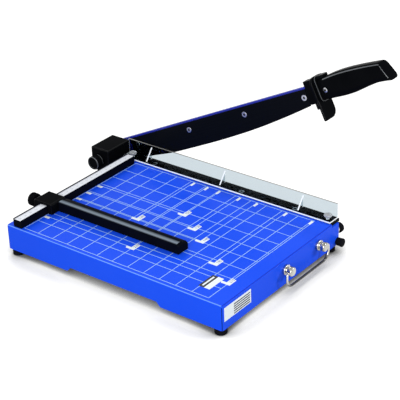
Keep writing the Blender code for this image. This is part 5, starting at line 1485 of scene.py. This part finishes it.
# The nickel's colour swings in clouds towards near black, which paints dark reflections onto the metal.
nickel = grained("nickel", NICKEL_PAINTED_DARK_REFLECTION, NICKEL_LIGHT, NICKEL, metal=1, stretch=ROUND_Y)
front_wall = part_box("base_shell")[0].y
post_places = {}
for side in ("left", "right"):
    node = f"handle_post_{side}"
    low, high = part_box(node)
    centre = seen_along("Y", node)
    post_places[side] = centre
    wall = front_wall - POST_GAP
    tip = wall - POST_LENGTH
    head_end = tip + POST_HEAD_LENGTH
    flange = wall - POST_FLANGE_HEIGHT
    stem_end = high.y
    rivet = stem_end - (POST_RIVET_RADIUS - POST_STEM_RADIUS)
    profile = [(0, stem_end), (POST_RIVET_RADIUS - POST_GAP, stem_end), (POST_RIVET_RADIUS, rivet)]
    profile += [(POST_STEM_RADIUS, rivet), (POST_STEM_RADIUS, wall), (POST_FLANGE_RADIUS, wall)]
    flange_core = POST_FLANGE_RADIUS - POST_FLANGE_ROUND
    profile += arc(flange_core, flange + POST_FLANGE_ROUND, POST_FLANGE_ROUND, 0, -pi / 2)
    profile += [(POST_NECK_RADIUS, flange), (POST_NECK_RADIUS, head_end)]
    head_core = POST_HEAD_RADIUS - POST_ROUND
    profile += arc(head_core, head_end - POST_ROUND, POST_ROUND, pi / 2, 0)
    profile += arc(head_core, tip + POST_ROUND, POST_ROUND, 0, -pi / 2)
    profile.append((0, tip))
    post = turned("Y", centre, profile, BOLT_SIDES)
    outward = -1 if side == "left" else 1
    mouth = centre[0] + outward * 2 * POST_HEAD_RADIUS
    depth = centre[0] + outward * (POST_HEAD_RADIUS - BAIL_BITE - POST_GAP)
    eye = WIRE_RADIUS + POST_GAP
    hinge_y = (tip + head_end) / 2
    hole = rod("X", (hinge_y, centre[1]), eye, mouth, depth, SCREW_SIDES)
    softened(fitted(f"bail_post_{side}", worked(post, [hole]), nickel, "base", (node,)))

bail_middle = (post_places["left"][0] + post_places["right"][0]) / 2
bail_height = post_places["left"][1]
bail_half = (post_places["right"][0] - post_places["left"][0]) / 2 + POST_HEAD_RADIUS
bend = 2 * WIRE_RADIUS
leg = bail_half + POST_GAP + bend
right_half = [(bail_half - BAIL_BITE, 0)]
right_half += arc(leg - bend, -bend, bend, pi / 2, 0)
right_half += arc(leg - BAIL_CORNER, BAIL_CORNER - BAIL_DROP, BAIL_CORNER, 0, -pi / 2)
bail_points = right_half + [(-x, z) for x, z in reversed(right_half)]
bail_curve = bpy.data.curves.new("wire_bail", "CURVE")
bail_curve.dimensions = "3D"
bail_curve.bevel_depth = WIRE_RADIUS
bail_curve.bevel_resolution = BAIL_SMOOTHNESS
bail_curve.use_fill_caps = True
bail_line = bail_curve.splines.new("POLY")
bail_line.points.add(len(bail_points) - 1)
for point, (x, z) in zip(bail_line.points, bail_points):
    point.co = (bail_middle + x, hinge_y, bail_height + z, 1)
    point.radius = 1
bail_line.use_smooth = True
# The bail is painted darker towards its bottom bar, as a painted dark reflection.
wire_span = (bail_height - BAIL_DROP - WIRE_RADIUS, bail_height)
bail_curve.materials.append(
    rubbed("wire_nickel_painted_dark_reflection", nickel, "Z", wire_span, WIRE_DARK_REFLECTION_SHARES, WIRE_DARK_REFLECTION_LEVELS, WIRE_DARK_REFLECTION)
)
bail = bpy.data.objects.new("wire_bail", bail_curve)
bpy.context.scene.collection.objects.link(bail)
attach(bail, "bail")
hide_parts("carry_bail")

# Stops
# The closed arm lands on a rubber ring round a riveted stud on the right wall, and the hook on a
# push-in rubber buffer in the front wall.
RING_RADIUS = 0.0070
RING_BORE = 0.0051
RING_EASE = 0.0012
STUD_RADIUS = 0.0048
STUD_EASE = 0.0008
STUD_STEM_RADIUS = 0.0019
STUD_RIVET_RADIUS = 0.0028
STUD_SHEET = 0.0021
BUFFER_RADIUS = 0.0053
BUFFER_FLARE = 0.0005
BUFFER_STEM_RADIUS = 0.0016
BUFFER_BARB = 0.0003
BUFFER_BARB_HEIGHT = 0.0018
BUFFER_EASE = 0.0010

right_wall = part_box("base_shell")[1].x
stud_low, stud_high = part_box("stop_stud")
ring_low, ring_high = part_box("stop_ring")
stop_centre = seen_along("X", "stop_stud")
stud_face = right_wall + POST_GAP
rivet_face = right_wall - STUD_SHEET + POST_GAP
stud_profile = [(0, stud_low.x), (STUD_RIVET_RADIUS, stud_low.x), (STUD_RIVET_RADIUS, rivet_face)]
stud_profile += [(STUD_STEM_RADIUS, rivet_face), (STUD_STEM_RADIUS, stud_face), (STUD_RADIUS, stud_face)]
stud_profile += arc(STUD_RADIUS - STUD_EASE, stud_high.x - STUD_EASE, STUD_EASE, 0, pi / 2)
stud_profile.append((0, stud_high.x))
landing_stud = turned("X", stop_centre, stud_profile, BOLT_SIDES)
softened(fitted("landing_stud", landing_stud, nickel, "base", ("stop_stud",)))
ring_core = RING_RADIUS - RING_EASE
ring_profile = [(RING_BORE, ring_low.x)]
ring_profile += arc(ring_core, ring_low.x + RING_EASE, RING_EASE, -pi / 2, 0)
ring_profile += arc(ring_core, ring_high.x - RING_EASE, RING_EASE, 0, pi / 2)
ring_profile.append((RING_BORE, ring_high.x))
rubber_ring = turned("X", stop_centre, ring_profile, BOLT_SIDES, ring=True)
softened(fitted("rubber_ring", rubber_ring, rubber, "base", ("stop_ring",)))

buffer_low, buffer_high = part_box("hook_buffer")
buffer_centre = seen_along("Y", "hook_buffer")
buffer_wall = front_wall - POST_GAP
buffer_inside = buffer_high.y - BUFFER_BARB_HEIGHT
flare = BUFFER_RADIUS + BUFFER_FLARE
buffer_profile = [(0, buffer_high.y), (BUFFER_STEM_RADIUS, buffer_high.y)]
buffer_profile += [(BUFFER_STEM_RADIUS + BUFFER_BARB, buffer_inside), (BUFFER_STEM_RADIUS, buffer_inside)]
buffer_profile += [(BUFFER_STEM_RADIUS, buffer_wall), (BUFFER_RADIUS, buffer_wall)]
buffer_profile += arc(flare - BUFFER_EASE, buffer_low.y + BUFFER_EASE, BUFFER_EASE, 0, -pi / 2)
buffer_profile.append((0, buffer_low.y))
rubber_buffer = turned("Y", buffer_centre, buffer_profile, BOLT_SIDES)
softened(fitted("rubber_buffer", rubber_buffer, rubber, "base", ("hook_buffer",)))
